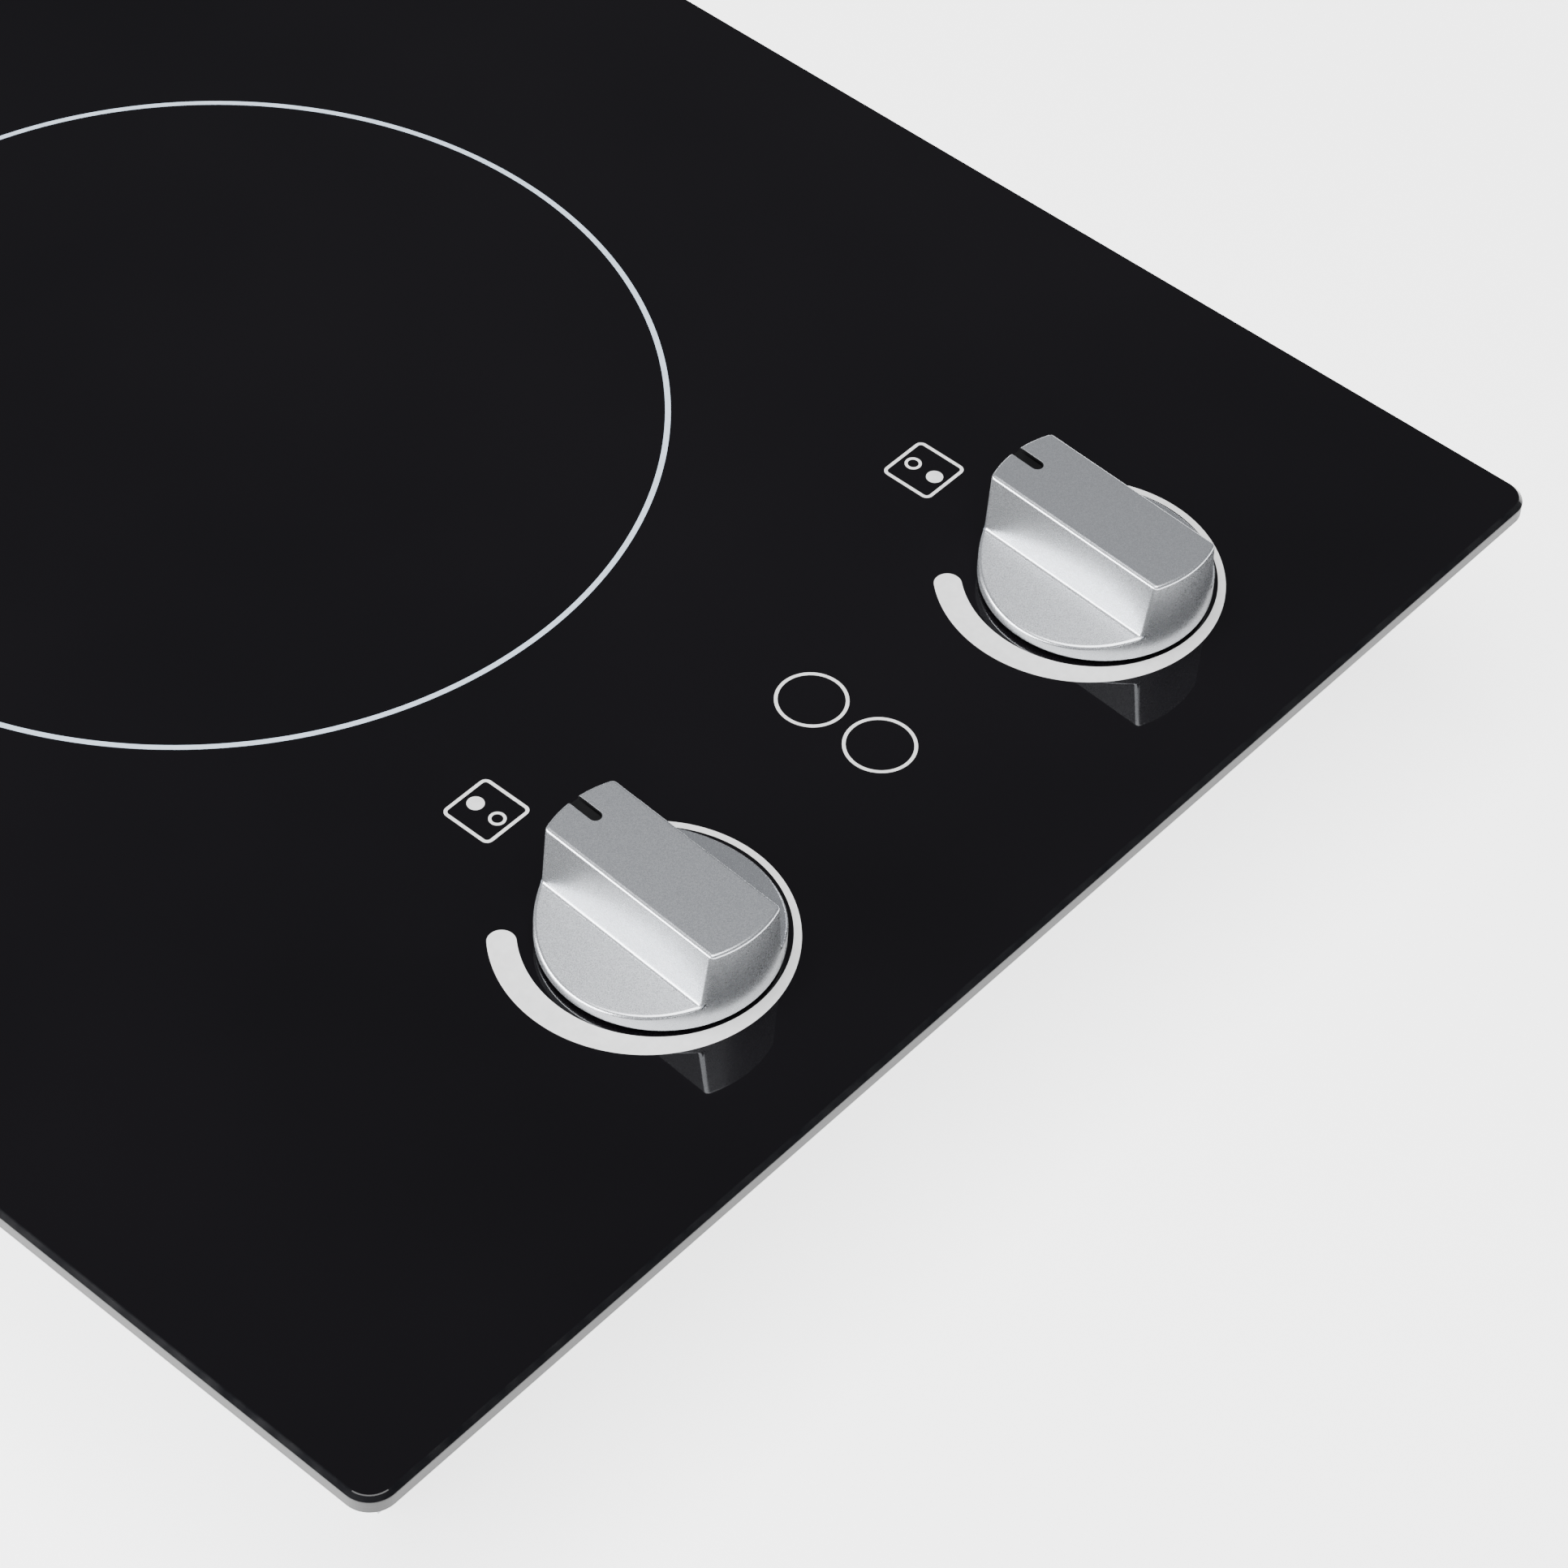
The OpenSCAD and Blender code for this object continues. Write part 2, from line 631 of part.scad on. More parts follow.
module regulator_tabs(x, side) {
    for (y = tab_ys) translate([x + side * (case_w / 2 + 1), knob_y + y, case_z0 + 5])
        cube([14 - 0.1, 1, 6.4], center = true);
}

module left_regulator_case() color([0.86, 0.85, 0.8]) regulator_case(left_knob_x, -1);
module right_regulator_case() color([0.86, 0.85, 0.8]) regulator_case(right_knob_x, 1);
module left_regulator_plate() color([0.75, 0.76, 0.78]) regulator_plate(left_knob_x);
module right_regulator_plate() color([0.75, 0.76, 0.78]) regulator_plate(right_knob_x);
module left_regulator_tabs() color([0.82, 0.68, 0.35]) regulator_tabs(left_knob_x, -1);
module right_regulator_tabs() color([0.82, 0.68, 0.35]) regulator_tabs(right_knob_x, 1);

module regulator_screws() color([0.75, 0.76, 0.78]) {
    for (x = [left_knob_x, right_knob_x], s = [-1, 1])
        translate([x + s * regulator_screw_x, knob_y, bracket_z + bracket_t])
            screw(6, r = m3_r + 0.4, head_r = 3.2, head_h = 2);
}

lens_h = 1.6;
holder_top = glass_z - lens_h;

module lamp_holder() color([0.82, 0.82, 0.8]) difference() {
    union() {
        box([controls_x - 7, print_y - 8, bracket_z + bracket_t],
            [controls_x + 7, print_y + lamp_pitch + 8, holder_top]);
        box([controls_x - 3.8, print_y + lamp_pitch / 2 - 13.8, bracket_z - 2],
            [controls_x + 3.8, print_y + lamp_pitch / 2 + 13.8, bracket_z + bracket_t + eps]);
    }
    for (y = lamp_ys) translate([controls_x, y, bracket_z - 5]) cylinder(h = 20, r = 3.2);
}

module lamp_lenses() color([0.75, 0.2, 0.12]) {
    for (y = lamp_ys) translate([controls_x, y, holder_top]) cylinder(h = lens_h, r = 5.5);
}

module neon_lamps() color([0.85, 0.8, 0.75]) {
    for (y = lamp_ys) translate([controls_x, y, 0]) {
        translate([0, 0, bracket_z - 2]) cylinder(h = 7, r = 2.4);
        translate([0, 0, bracket_z + 5]) sphere(r = 2.4);
        translate([0, 0, bracket_z - 1.9]) cylinder(h = 2, r = 3.18);
    }
}

// ---------------------------------------------------------------- radiant elements

dish_z = 22;
dish_top = glass_z - 2;
dish_t = 0.6;
bed_h = 7;
bed_top = dish_z + dish_t + bed_h;
ring_w = 10;
tube_z = glass_z - 5;
tube_r = 2.5;
function dish_r(zone_d) = zone_d / 2 + 9;

module element_dish(y, r) {
    translate([0, y, 0]) difference() {
        translate([0, 0, dish_z]) cylinder(h = dish_top - dish_z, r = r, $fn = 128);
        translate([0, 0, dish_z + dish_t]) cylinder(h = 30, r = r - dish_t, $fn = 128);
        rotate(limiter_turn) {
            translate([r - 3, 0, tube_z]) rotate([0, 90, 0]) cylinder(h = 6, r = tube_r + 0.3);
            translate([-r - 3, 0, tube_z]) rotate([0, 90, 0]) cylinder(h = 6, r = tube_r + 0.3);
            for (s = [-1, 1]) box([r - 3, s * 8 - 2, bed_top - 1], [r + 3, s * 8 + 2, bed_top + 3]);
        }
    }
}

module insulation_bed(y, r) {
    translate([0, y, dish_z + dish_t]) cylinder(h = bed_h, r = r - dish_t - 0.2, $fn = 128);
}

module insulation_ring(y, r) {
    translate([0, y, 0]) difference() {
        translate([0, 0, bed_top]) cylinder(h = glass_z - bed_top, r = r - dish_t - 0.2, $fn = 128);
        translate([0, 0, bed_top - 1]) cylinder(h = 30, r = r - dish_t - ring_w, $fn = 128);
        rotate(limiter_turn) {
            translate([-r - 3, 0, tube_z]) rotate([0, 90, 0]) cylinder(h = 2 * r + 6, r = tube_r + 0.3);
            for (s = [-1, 1]) box([r - 20, s * 8 - 2, bed_top - 1], [r + 3, s * 8 + 2, bed_top + 3]);
        }
    }
}

// Upright heating ribbon: open rings joined end to end, with tails through the ring to the head
ribbon_h = 5;
ribbon_t = 0.6;
ribbon_gap = 8;
ribbon_rings = 5;
tail_y = 6.6;

module ribbon(y, r) {
    pitch = (r - ring_w - 20) / ribbon_rings;
    outer = r - ring_w - 5;
    translate([0, y, bed_top]) rotate(limiter_turn) {
        for (i = [0 : ribbon_rings - 1]) difference() {
            cylinder(h = ribbon_h, r = outer - i * pitch, $fn = 96);
            translate([0, 0, -1]) cylinder(h = ribbon_h + 2, r = outer - i * pitch - ribbon_t, $fn = 96);
            translate([0, -ribbon_gap, -1]) cube([200, 2 * ribbon_gap, ribbon_h + 2]);
        }
        for (i = [0 : ribbon_rings - 2]) {
            s = i % 2 == 0 ? 1 : -1;
            r0 = sqrt(pow(outer - i * pitch, 2) - ribbon_gap * ribbon_gap) - ribbon_t / 2;
            r1 = sqrt(pow(outer - (i + 1) * pitch, 2) - ribbon_gap * ribbon_gap) - ribbon_t / 2;
            translate([r1, s > 0 ? ribbon_gap : -ribbon_gap - ribbon_t, 0])
                cube([r0 - r1, ribbon_t, ribbon_h]);
        }
        // tails: from the outer ring, and back from the inner ring
        first = sqrt(outer * outer - ribbon_gap * ribbon_gap) - ribbon_t / 2;
        box([first, -ribbon_gap - ribbon_t, 0], [r + 2, -ribbon_gap, 2.6]);
        last = outer - (ribbon_rings - 1) * pitch;
        inner = sqrt(last * last - ribbon_gap * ribbon_gap) - ribbon_t;
        box([inner, tail_y, 0], [inner + ribbon_t * 0.8, ribbon_gap + 0.4, 2.6]);
        box([inner, tail_y, 0], [r + 2, tail_y + ribbon_t, 2.6]);
    }
}

module limiter_tube(y, r) {
    translate([0, y, tube_z]) rotate(limiter_turn)
        translate([-r - 2, 0, 0]) rotate([0, 90, 0]) cylinder(h = 2 * r + 3, r = tube_r);
}

head_l = 26;
head_w = 24;

module limiter_head(y, r) {
    translate([0, y, 0]) rotate(limiter_turn) difference() {
        union() {
            box([r + 0.6, -head_w / 2, dish_z + 2], [r + head_l, head_w / 2, glass_z - 1.5]);
            for (s = [-1, 1])
                box([r + head_l - eps, s * 6 - 3, dish_z + 6], [r + head_l + 8, s * 6 + 3, dish_z + 6.8]);
        }
        translate([r, 0, tube_z]) rotate([0, 90, 0]) cylinder(h = 4, r = tube_r + 0.05);
        box([r, -ribbon_gap - 1.2, bed_top - 0.4], [r + 2.1, -ribbon_gap + 0.6, bed_top + 3]);
        box([r, tail_y - 0.6, bed_top - 0.4], [r + 2.1, tail_y + 1.2, bed_top + 3]);
    }
}

bridge_t = 1;
bridge_z = 9;

module bridge(y) {
    difference() {
        xz_bar([
            [-110, sheet], [-92, sheet], [-84, bridge_z], [84, bridge_z], [92, sheet], [110, sheet],
            [110, sheet + bridge_t], [92.5, sheet + bridge_t], [84.5, bridge_z + bridge_t],
            [-84.5, bridge_z + bridge_t], [-92.5, sheet + bridge_t], [-110, sheet + bridge_t],
        ], y - 12, y + 12);
        for (s = [-1, 1]) translate([s * 102, y, 0]) cylinder(h = 5, r = m4_r + 0.1);
    }
}

// Leaf springs that press a dish up to the glass
module springs(y) {
    low = bridge_z + bridge_t;
    t = 0.5;
    for (s = [-1, 1]) translate([s * 45, 0, 0]) xz_bar([
        [-26, low], [-16, low], [-7, dish_z - t], [7, dish_z - t], [16, low], [26, low],
        [26, low + t], [16.2, low + t], [7.2, dish_z], [-7.2, dish_z], [-16.2, low + t], [-26, low + t],
    ], y - 6, y + 6);
}

module front_element_dish() color([0.7, 0.71, 0.72]) element_dish(front_zone_y, dish_r(front_zone_d));
module rear_element_dish() color([0.7, 0.71, 0.72]) element_dish(rear_zone_y, dish_r(rear_zone_d));
module front_insulation_bed() color([0.85, 0.84, 0.8]) insulation_bed(front_zone_y, dish_r(front_zone_d));
module rear_insulation_bed() color([0.85, 0.84, 0.8]) insulation_bed(rear_zone_y, dish_r(rear_zone_d));
module front_insulation_ring() color([0.9, 0.88, 0.82]) insulation_ring(front_zone_y, dish_r(front_zone_d));
module rear_insulation_ring() color([0.9, 0.88, 0.82]) insulation_ring(rear_zone_y, dish_r(rear_zone_d));
module front_ribbon() color([0.35, 0.3, 0.27]) ribbon(front_zone_y, dish_r(front_zone_d));
module rear_ribbon() color([0.35, 0.3, 0.27]) ribbon(rear_zone_y, dish_r(rear_zone_d));
module front_limiter_tube() color([0.8, 0.82, 0.84]) limiter_tube(front_zone_y, dish_r(front_zone_d));
module rear_limiter_tube() color([0.8, 0.82, 0.84]) limiter_tube(rear_zone_y, dish_r(rear_zone_d));
module front_limiter_head() color([0.88, 0.86, 0.8]) limiter_head(front_zone_y, dish_r(front_zone_d));
module rear_limiter_head() color([0.88, 0.86, 0.8]) limiter_head(rear_zone_y, dish_r(rear_zone_d));
module front_bridge() color([0.68, 0.7, 0.72]) bridge(front_zone_y);
module rear_bridge() color([0.68, 0.7, 0.72]) bridge(rear_zone_y);
module front_springs() color([0.5, 0.52, 0.55]) springs(front_zone_y);
module rear_springs() color([0.5, 0.52, 0.55]) springs(rear_zone_y);

// ---------------------------------------------------------------- terminal box

box_t = 2;
box_wall = 1.6;
gland_x = 107;
gland_z = 15;
gland_r = cable_r + 2.2;
hinge_y = box_high[1] + 2.2;
hinge_z = box_low[2] + 3.4;
hinge_pin_r = 1.4;
lid_t = 1.6;
lid_low = hinge_z + 2.2;
lid_high = box_high[2] - 0.4;

module terminal_box() color([0.12, 0.12, 0.13]) difference() {
    union() {
        difference() {
            box(box_low, box_high);
            box([box_low[0] + box_wall, box_low[1] + box_wall, box_low[2] + box_t],
                [box_high[0] - box_wall, box_high[1] - box_wall, box_high[2] - box_wall]);
            box([lid_x - lid_w / 2 + 1.5, box_high[1] - 5, lid_low + 1],
                [lid_x + lid_w / 2 - 1.5, box_high[1] + 5, lid_high - 3.2]);
        }
        for (s = [-1, 1]) hinge_ear(lid_x + s * (lid_w / 2 + 1.6));
    }
    for (s = [-1, 1]) translate([lid_x + s * (lid_w / 2 + 1.6) - 3, hinge_y, hinge_z]) rotate([0, 90, 0])
        cylinder(h = 6, r = hinge_pin_r + 0.08);
    translate([gland_x, box_high[1] + 5, gland_z]) rotate([90, 0, 0]) cylinder(h = 12, r = gland_r);
    box([lid_x - lid_w / 2 + 2, box_low[1] - 2, 10], [lid_x + lid_w / 2 - 2, box_low[1] + 4, 18]);
    for (p = box_feet) translate([p[0], p[1], 0]) cylinder(h = 6, r = m4_r + 0.1);
}

module hinge_ear(x) {
    translate([x - 1, 0, 0]) {
        box([0, box_high[1] - 0.1, hinge_z - 2.4], [2, hinge_y, hinge_z + 2.4]);
        translate([0, hinge_y, hinge_z]) rotate([0, 90, 0]) cylinder(h = 2, r = 2.4);
    }
}

module terminal_lid() color([0.12, 0.12, 0.13]) {
    half = lid_w / 2;
    y0 = box_high[1] + 0.3;
    box([lid_x - half, y0, lid_low], [lid_x + half, y0 + lid_t, lid_high]);
    // barrel and its stubs
    translate([lid_x - half, hinge_y, hinge_z]) rotate([0, 90, 0]) cylinder(h = lid_w, r = 1.85);
    translate([lid_x - half - 2.6, hinge_y, hinge_z]) rotate([0, 90, 0])
        cylinder(h = lid_w + 5.2, r = hinge_pin_r);
    for (s = [-0.7, 0.7])
        box([lid_x + s * half - 3, y0, hinge_z], [lid_x + s * half + 3, y0 + lid_t, lid_low + 1]);
    // ribs that stiffen the lid and a pull at its top
    for (s = [-0.5, 0, 0.5]) box([lid_x + s * half - 0.6, y0 + lid_t - eps, lid_low + 3],
        [lid_x + s * half + 0.6, y0 + lid_t + 0.8, lid_high - 4]);
    box([lid_x - 6, y0 + lid_t - eps, lid_high - 2.4], [lid_x + 6, y0 + lid_t + 1.6, lid_high - 1]);
}

poles = 4;
pole_w = 7;
block_low = [lid_x - poles * pole_w / 2, box_low[1] + 9, box_low[2] + box_t];
block_d = 12;
block_h = 17;

module terminal_block() color([0.9, 0.89, 0.85]) translate(block_low) difference() {
    union() {
        cube([poles * pole_w, block_d, 8]);
        for (i = [0 : poles - 1]) translate([i * pole_w + 0.5, 0, 0]) cube([pole_w - 1, block_d, block_h]);
    }
    for (i = [0 : poles - 1]) translate([(i + 0.5) * pole_w, -1, 11]) rotate([-90, 0, 0])
        cylinder(h = block_d + 2, r = 2.2);
}

module terminal_clamps() color([0.82, 0.68, 0.35]) {
    for (i = [0 : poles - 1]) translate([block_low[0] + (i + 0.5) * pole_w, 0, block_low[2] + 11]) {
        translate([0, block_low[1] + block_d - 3, 0]) rotate([-90, 0, 0]) difference() {
            cylinder(h = 4.5, r = 2.15);
            box([-3, -0.4, 3.5], [3, 0.4, 6]);
        }
        translate([0, block_low[1] + 1, 0]) rotate([-90, 0, 0]) difference() {
            cylinder(h = block_d - 4.2, r = 2.15);
            translate([0, 0, -1]) cylinder(h = 5, r = 1.25);
        }
    }
}

module cable_gland() color([0.1, 0.1, 0.1]) {
    translate([gland_x, box_high[1] - box_wall, gland_z]) rotate([-90, 0, 0]) rotate_extrude() polygon([
        [cable_r, -3], [gland_r - 0.8, -3], [gland_r - 0.05, -0.1], [gland_r - 0.05, box_wall],
        [gland_r + 1.6, box_wall], [gland_r + 1.6, box_wall + 1.5], [cable_r + 1.2, box_wall + 5.5],
        [cable_r, box_wall + 5.5],
    ]);
}

// Saddle that holds the supply cable: a base with two posts, a bar and two screws
module cable_clamp() color([0.75, 0.75, 0.72]) {
    clamp_y = box_low[1] + 18;
    foot_z = box_low[2] + box_t;
    bar_z = gland_z + cable_r + 0.3;
    box([gland_x - 9, clamp_y - 3.5, foot_z], [gland_x + 9, clamp_y + 3.5, foot_z + 3]);
    for (s = [-1, 1]) box([gland_x + s * 7.4 - 1.6, clamp_y - 3.5, foot_z + 3 - eps],
        [gland_x + s * 7.4 + 1.6, clamp_y + 3.5, bar_z]);
    box([gland_x - 9, clamp_y - 3.5, bar_z - eps], [gland_x + 9, clamp_y + 3.5, bar_z + 2.5]);
    for (s = [-1, 1]) translate([gland_x + s * 7.4, clamp_y, bar_z + 2.5 - eps])
        cylinder(h = 1.6, r = 2.4, $fn = 32);
}

module earth_screw() color([0.82, 0.68, 0.35]) translate([earth_at[0], earth_at[1], sheet]) {
    translate([0, 0, -sheet]) cylinder(h = 8, r = m4_r - 0.1);
    cylinder(h = 0.8, r = 4.5);
    translate([0, 0, 0.8 - eps]) cylinder(h = 3.2, r = 4.1, $fn = 6);
}

// ---------------------------------------------------------------- internal wires

wire_r = 0.9;
lane_pitch = 3.2;
tab_end = case_w / 2 + 8;
tab_z = case_z0 + 5;
blade_z = dish_z + 6.8 + wire_r + 0.05;

// The last stretch to a regulator's tab k: down the gap beside the case at a level of its own, then up
function to_tab(x, side, k) =
    let (gap_x = x + side * (tab_end + 2.9), y = knob_y + tab_ys[k], z = tab_z - 2.5 * (3 - k))
    concat([[gap_x, knob_y + 21, z], [gap_x, y + (k == 3 ? 1.5 : 0), z]],
        k == 3 ? [] : [[gap_x, y, tab_z]],
        [[x + side * tab_end, y, tab_z]]);

module supply_wires() color([0.45, 0.25, 0.12]) {
    // from the terminal block along the right wall: two conductors to each regulator
    for (i = [0 : 3]) {
        from = [block_low[0] + (i + 0.5) * pole_w, block_low[1] + 3, block_low[2] + 11];
        lane = 116 - (3 - i) * lane_pitch;
        start = [from, [from[0], box_low[1] - 6, from[2]], [lane, 150, 5.6], [lane, shield_y + 12, 5.6]];
        if (i >= 2)
            wire(concat(start, to_tab(right_knob_x, 1, i - 2)), wire_r);
        else
            wire(concat(start,
                [[lane, shield_y - 6 - i * lane_pitch, 5.6], [-56, shield_y - 6 - i * lane_pitch, 5.6]],
                to_tab(left_knob_x, -1, 1 - i)), wire_r);
    }
}

module element_wires() color([0.8, 0.78, 0.7]) {
    out = [cos(limiter_turn), sin(limiter_turn), 0];
    across = [-sin(limiter_turn), cos(limiter_turn), 0] * 6;
    front_end = [0, front_zone_y, blade_z] + out * (dish_r(front_zone_d) + head_l + 4);
    rear_end = [0, rear_zone_y, blade_z] + out * (dish_r(rear_zone_d) + head_l + 4);
    for (i = [0, 1]) {
        // front element: from the right regulator
        sign = i == 0 ? -1 : 1;
        front = front_end + sign * across;
        tab = to_tab(right_knob_x, 1, 2 + i);
        wire([front, front + out * 6, [92 + i * 4, shield_y + 8, tab_z - 4 + 2.5 * i],
            [92 + i * 4, shield_y - 5, tab_z - 4 + 2.5 * i],
            tab[0], tab[1], tab[2], tab[len(tab) - 1]], wire_r);
        // rear element: from the left regulator, along the left wall and between the elements
        rear = rear_end - sign * across;
        back = to_tab(left_knob_x, -1, 2 + i);
        y = 20 + i * lane_pitch;
        wall_x0 = -114 + i * lane_pitch;
        wire([rear, rear + out * 6, [104 - i * 11, y + 4, 10], [98 - i * 8, y, 6], [wall_x0, y, 6],
            [wall_x0, -140 + i * 4, 6], [-62 + i * 4, shield_y + 8, tab_z - 4 + 2.5 * i],
            [-62 + i * 4, shield_y - 5, tab_z - 4 + 2.5 * i],
            back[0], back[1], back[2], back[len(back) - 1]], wire_r);
    }
}

module lamp_wires() color([0.75, 0.15, 0.12]) {
    for (s = [-1, 1]) {
        x = s < 0 ? left_knob_x + case_w / 2 : right_knob_x - case_w / 2;
        y = lamp_ys[s < 0 ? 0 : 1];
        for (n = [0, 1]) wire([
            [controls_x, y - 1 + n * 2, bracket_z - 2], [controls_x, y - 1 + n * 2, 27 - n * 2],
            [x - s * 3, lamp_ys[0] - 2 + n * 4 + s * 5, 24], [x, lamp_ys[0] - 2 + n * 4 + s * 5, 24],
        ], 0.7);
    }
}

glass_plate();
cooking_zone_rings();
power_scales();
zone_symbols();
lamp_circles();
worktop_seal();
glass_adhesive();
base_pan();
heat_shield();
control_bracket();
floor_screws();
left_knob();
left_pointer();
left_knob_spring();
left_spindle();
left_spindle_seal();
right_knob();
right_pointer();
right_knob_spring();
right_spindle();
right_spindle_seal();
left_regulator_case();
left_regulator_plate();
left_regulator_tabs();
right_regulator_case();
right_regulator_plate();
right_regulator_tabs();
regulator_screws();
lamp_holder();
lamp_lenses();
neon_lamps();
front_element_dish();
front_insulation_bed();
front_insulation_ring();
front_ribbon();
front_limiter_tube();
front_limiter_head();
front_bridge();
front_springs();
rear_element_dish();
rear_insulation_bed();
rear_insulation_ring();
rear_ribbon();
rear_limiter_tube();
rear_limiter_head();
rear_bridge();
rear_springs();
terminal_box();
terminal_lid();
terminal_block();
terminal_clamps();
cable_gland();
cable_clamp();
earth_screw();
supply_wires();
element_wires();
lamp_wires();
spring_clips();
clip_screws();
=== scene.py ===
# %% [markdown]
# # A built-in glass hob with two zones
# The engineering model of the hob is loaded first and is never changed. It gives every size and
# place below. New pieces are made only where the eye comes close: the glass with its ground edge,
# the printed marks, and the two satin knobs. The steel pan and everything under the glass keep
# their engineering shape and get a finish of their own, because more detail there is never seen.

# %% Load the frame
import json
import math

import bmesh
import bpy
from mathutils import Matrix, Vector


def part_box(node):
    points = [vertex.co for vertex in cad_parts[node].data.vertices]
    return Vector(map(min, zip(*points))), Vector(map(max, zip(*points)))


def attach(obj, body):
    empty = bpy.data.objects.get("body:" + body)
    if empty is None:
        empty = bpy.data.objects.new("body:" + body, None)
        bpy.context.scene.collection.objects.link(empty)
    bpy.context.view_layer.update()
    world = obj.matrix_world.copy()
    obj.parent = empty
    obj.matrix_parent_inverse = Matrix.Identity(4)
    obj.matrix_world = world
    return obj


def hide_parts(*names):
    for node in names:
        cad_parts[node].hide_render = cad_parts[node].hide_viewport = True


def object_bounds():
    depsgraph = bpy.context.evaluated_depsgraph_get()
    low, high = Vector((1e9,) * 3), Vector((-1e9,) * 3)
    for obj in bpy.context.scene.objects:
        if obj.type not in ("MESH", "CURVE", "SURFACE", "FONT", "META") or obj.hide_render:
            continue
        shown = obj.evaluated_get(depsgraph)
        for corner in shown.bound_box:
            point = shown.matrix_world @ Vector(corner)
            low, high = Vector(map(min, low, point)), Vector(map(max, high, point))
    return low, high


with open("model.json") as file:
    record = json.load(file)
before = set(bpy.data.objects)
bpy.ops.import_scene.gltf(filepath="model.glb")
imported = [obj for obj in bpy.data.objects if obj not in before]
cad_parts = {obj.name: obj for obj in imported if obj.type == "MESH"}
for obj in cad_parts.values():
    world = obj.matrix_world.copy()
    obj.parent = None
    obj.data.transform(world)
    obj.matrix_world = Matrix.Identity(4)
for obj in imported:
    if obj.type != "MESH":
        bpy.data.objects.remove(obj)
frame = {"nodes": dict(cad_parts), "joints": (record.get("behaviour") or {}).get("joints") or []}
cad_low, cad_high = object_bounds()
nodes = frame["nodes"]
MM = 0.001
print("model box in mm", [round(v / MM, 1) for v in (*cad_low, *cad_high)])

# %% [markdown]
# ## Places taken from the frame
# Every later cell works from the glass's box: its top face, its front edge and its middle. Typing
# these places in again would work as well, but they would go wrong as soon as the model changed.
# The knobs turn about upright axes, which the joints of the model give exactly. The printed scales
# are laid out from the two lamp circles that stand halfway between them.

# %% Places
glass_low, glass_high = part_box("glass_plate")
TOP = glass_high.z
HALF_W = (glass_high.x - glass_low.x) / 2
HALF_D = (glass_high.y - glass_low.y) / 2
FRONT = glass_low.y
THICK = glass_high.z - glass_low.z
axis_of = {joint["child"]: Vector(joint["pos_m"]) for joint in frame["joints"]}
LEFT, RIGHT = axis_of["left_control"], axis_of["right_control"]
lamp_low, lamp_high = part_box("lamp_circles")
LAMP_BOX_R = 6.25 * MM
SCALE_SPACING = 110 * MM
CONTROLS_X = (lamp_low.x + lamp_high.x) / 2
PRINT_Y = lamp_low.y + LAMP_BOX_R
SCALES = [Vector((CONTROLS_X + side * SCALE_SPACING / 2, PRINT_Y)) for side in (-1, 1)]
print("glass top at", round(TOP / MM, 2), "mm; knobs at", LEFT[:2], RIGHT[:2], "scales at", SCALES)

# %% [markdown]
# ## Camera
# The hob is seen from the front left and well above. A camera can be placed by typing in its
# position and its angles, but then the view is hard to reason about. Here it is set by the
# direction that it looks in, a small roll, and the point on the glass that its view is centred on.

# %% Camera
LOOK_TURN, LOOK_DOWN = -50.77, 47.49
RIGHT_RISE = 0.0349
AIM = Vector((2.6 * MM, -204.7 * MM, TOP))
DISTANCE = 780.8 * MM
LENS, SENSOR = 109.5, 36


def look_direction(turn, down):
    a, e = math.radians(turn), math.radians(down)
    return Vector((-math.sin(a) * math.cos(e), math.cos(a) * math.cos(e), -math.sin(e)))


camera = bpy.data.objects.new("camera", bpy.data.cameras.new("camera"))
bpy.context.scene.collection.objects.link(camera)
camera.data.lens, camera.data.sensor_width = LENS, SENSOR
camera.data.clip_start, camera.data.clip_end = 0.01, 50
direction = look_direction(LOOK_TURN, LOOK_DOWN)
right = direction.cross(Vector((0, 0, 1))).normalized()
up = right.cross(direction)
# the roll lifts the view's right-hand side by RIGHT_RISE for each metre
roll = math.asin(RIGHT_RISE / math.cos(math.radians(LOOK_DOWN)))
right, up = (right * math.cos(roll) + up * math.sin(roll),
             up * math.cos(roll) - right * math.sin(roll))
turn = Matrix((right, up, -direction)).transposed().to_4x4()
camera.matrix_world = Matrix.Translation(AIM - direction * DISTANCE) @ turn
bpy.context.scene.camera = camera
print("camera at", [round(v, 4) for v in camera.location])

# %% [markdown]
# ## A helper for finishes
# Each finish is a small node tree on one Principled shader. Such a tree can be wired by hand in the
# shader editor, or line by line in a script, which soon hides what the finish is about. The helper
# makes the shader, sets its plain numbers, and offers noise, colour ramps, ranges and bump by name.


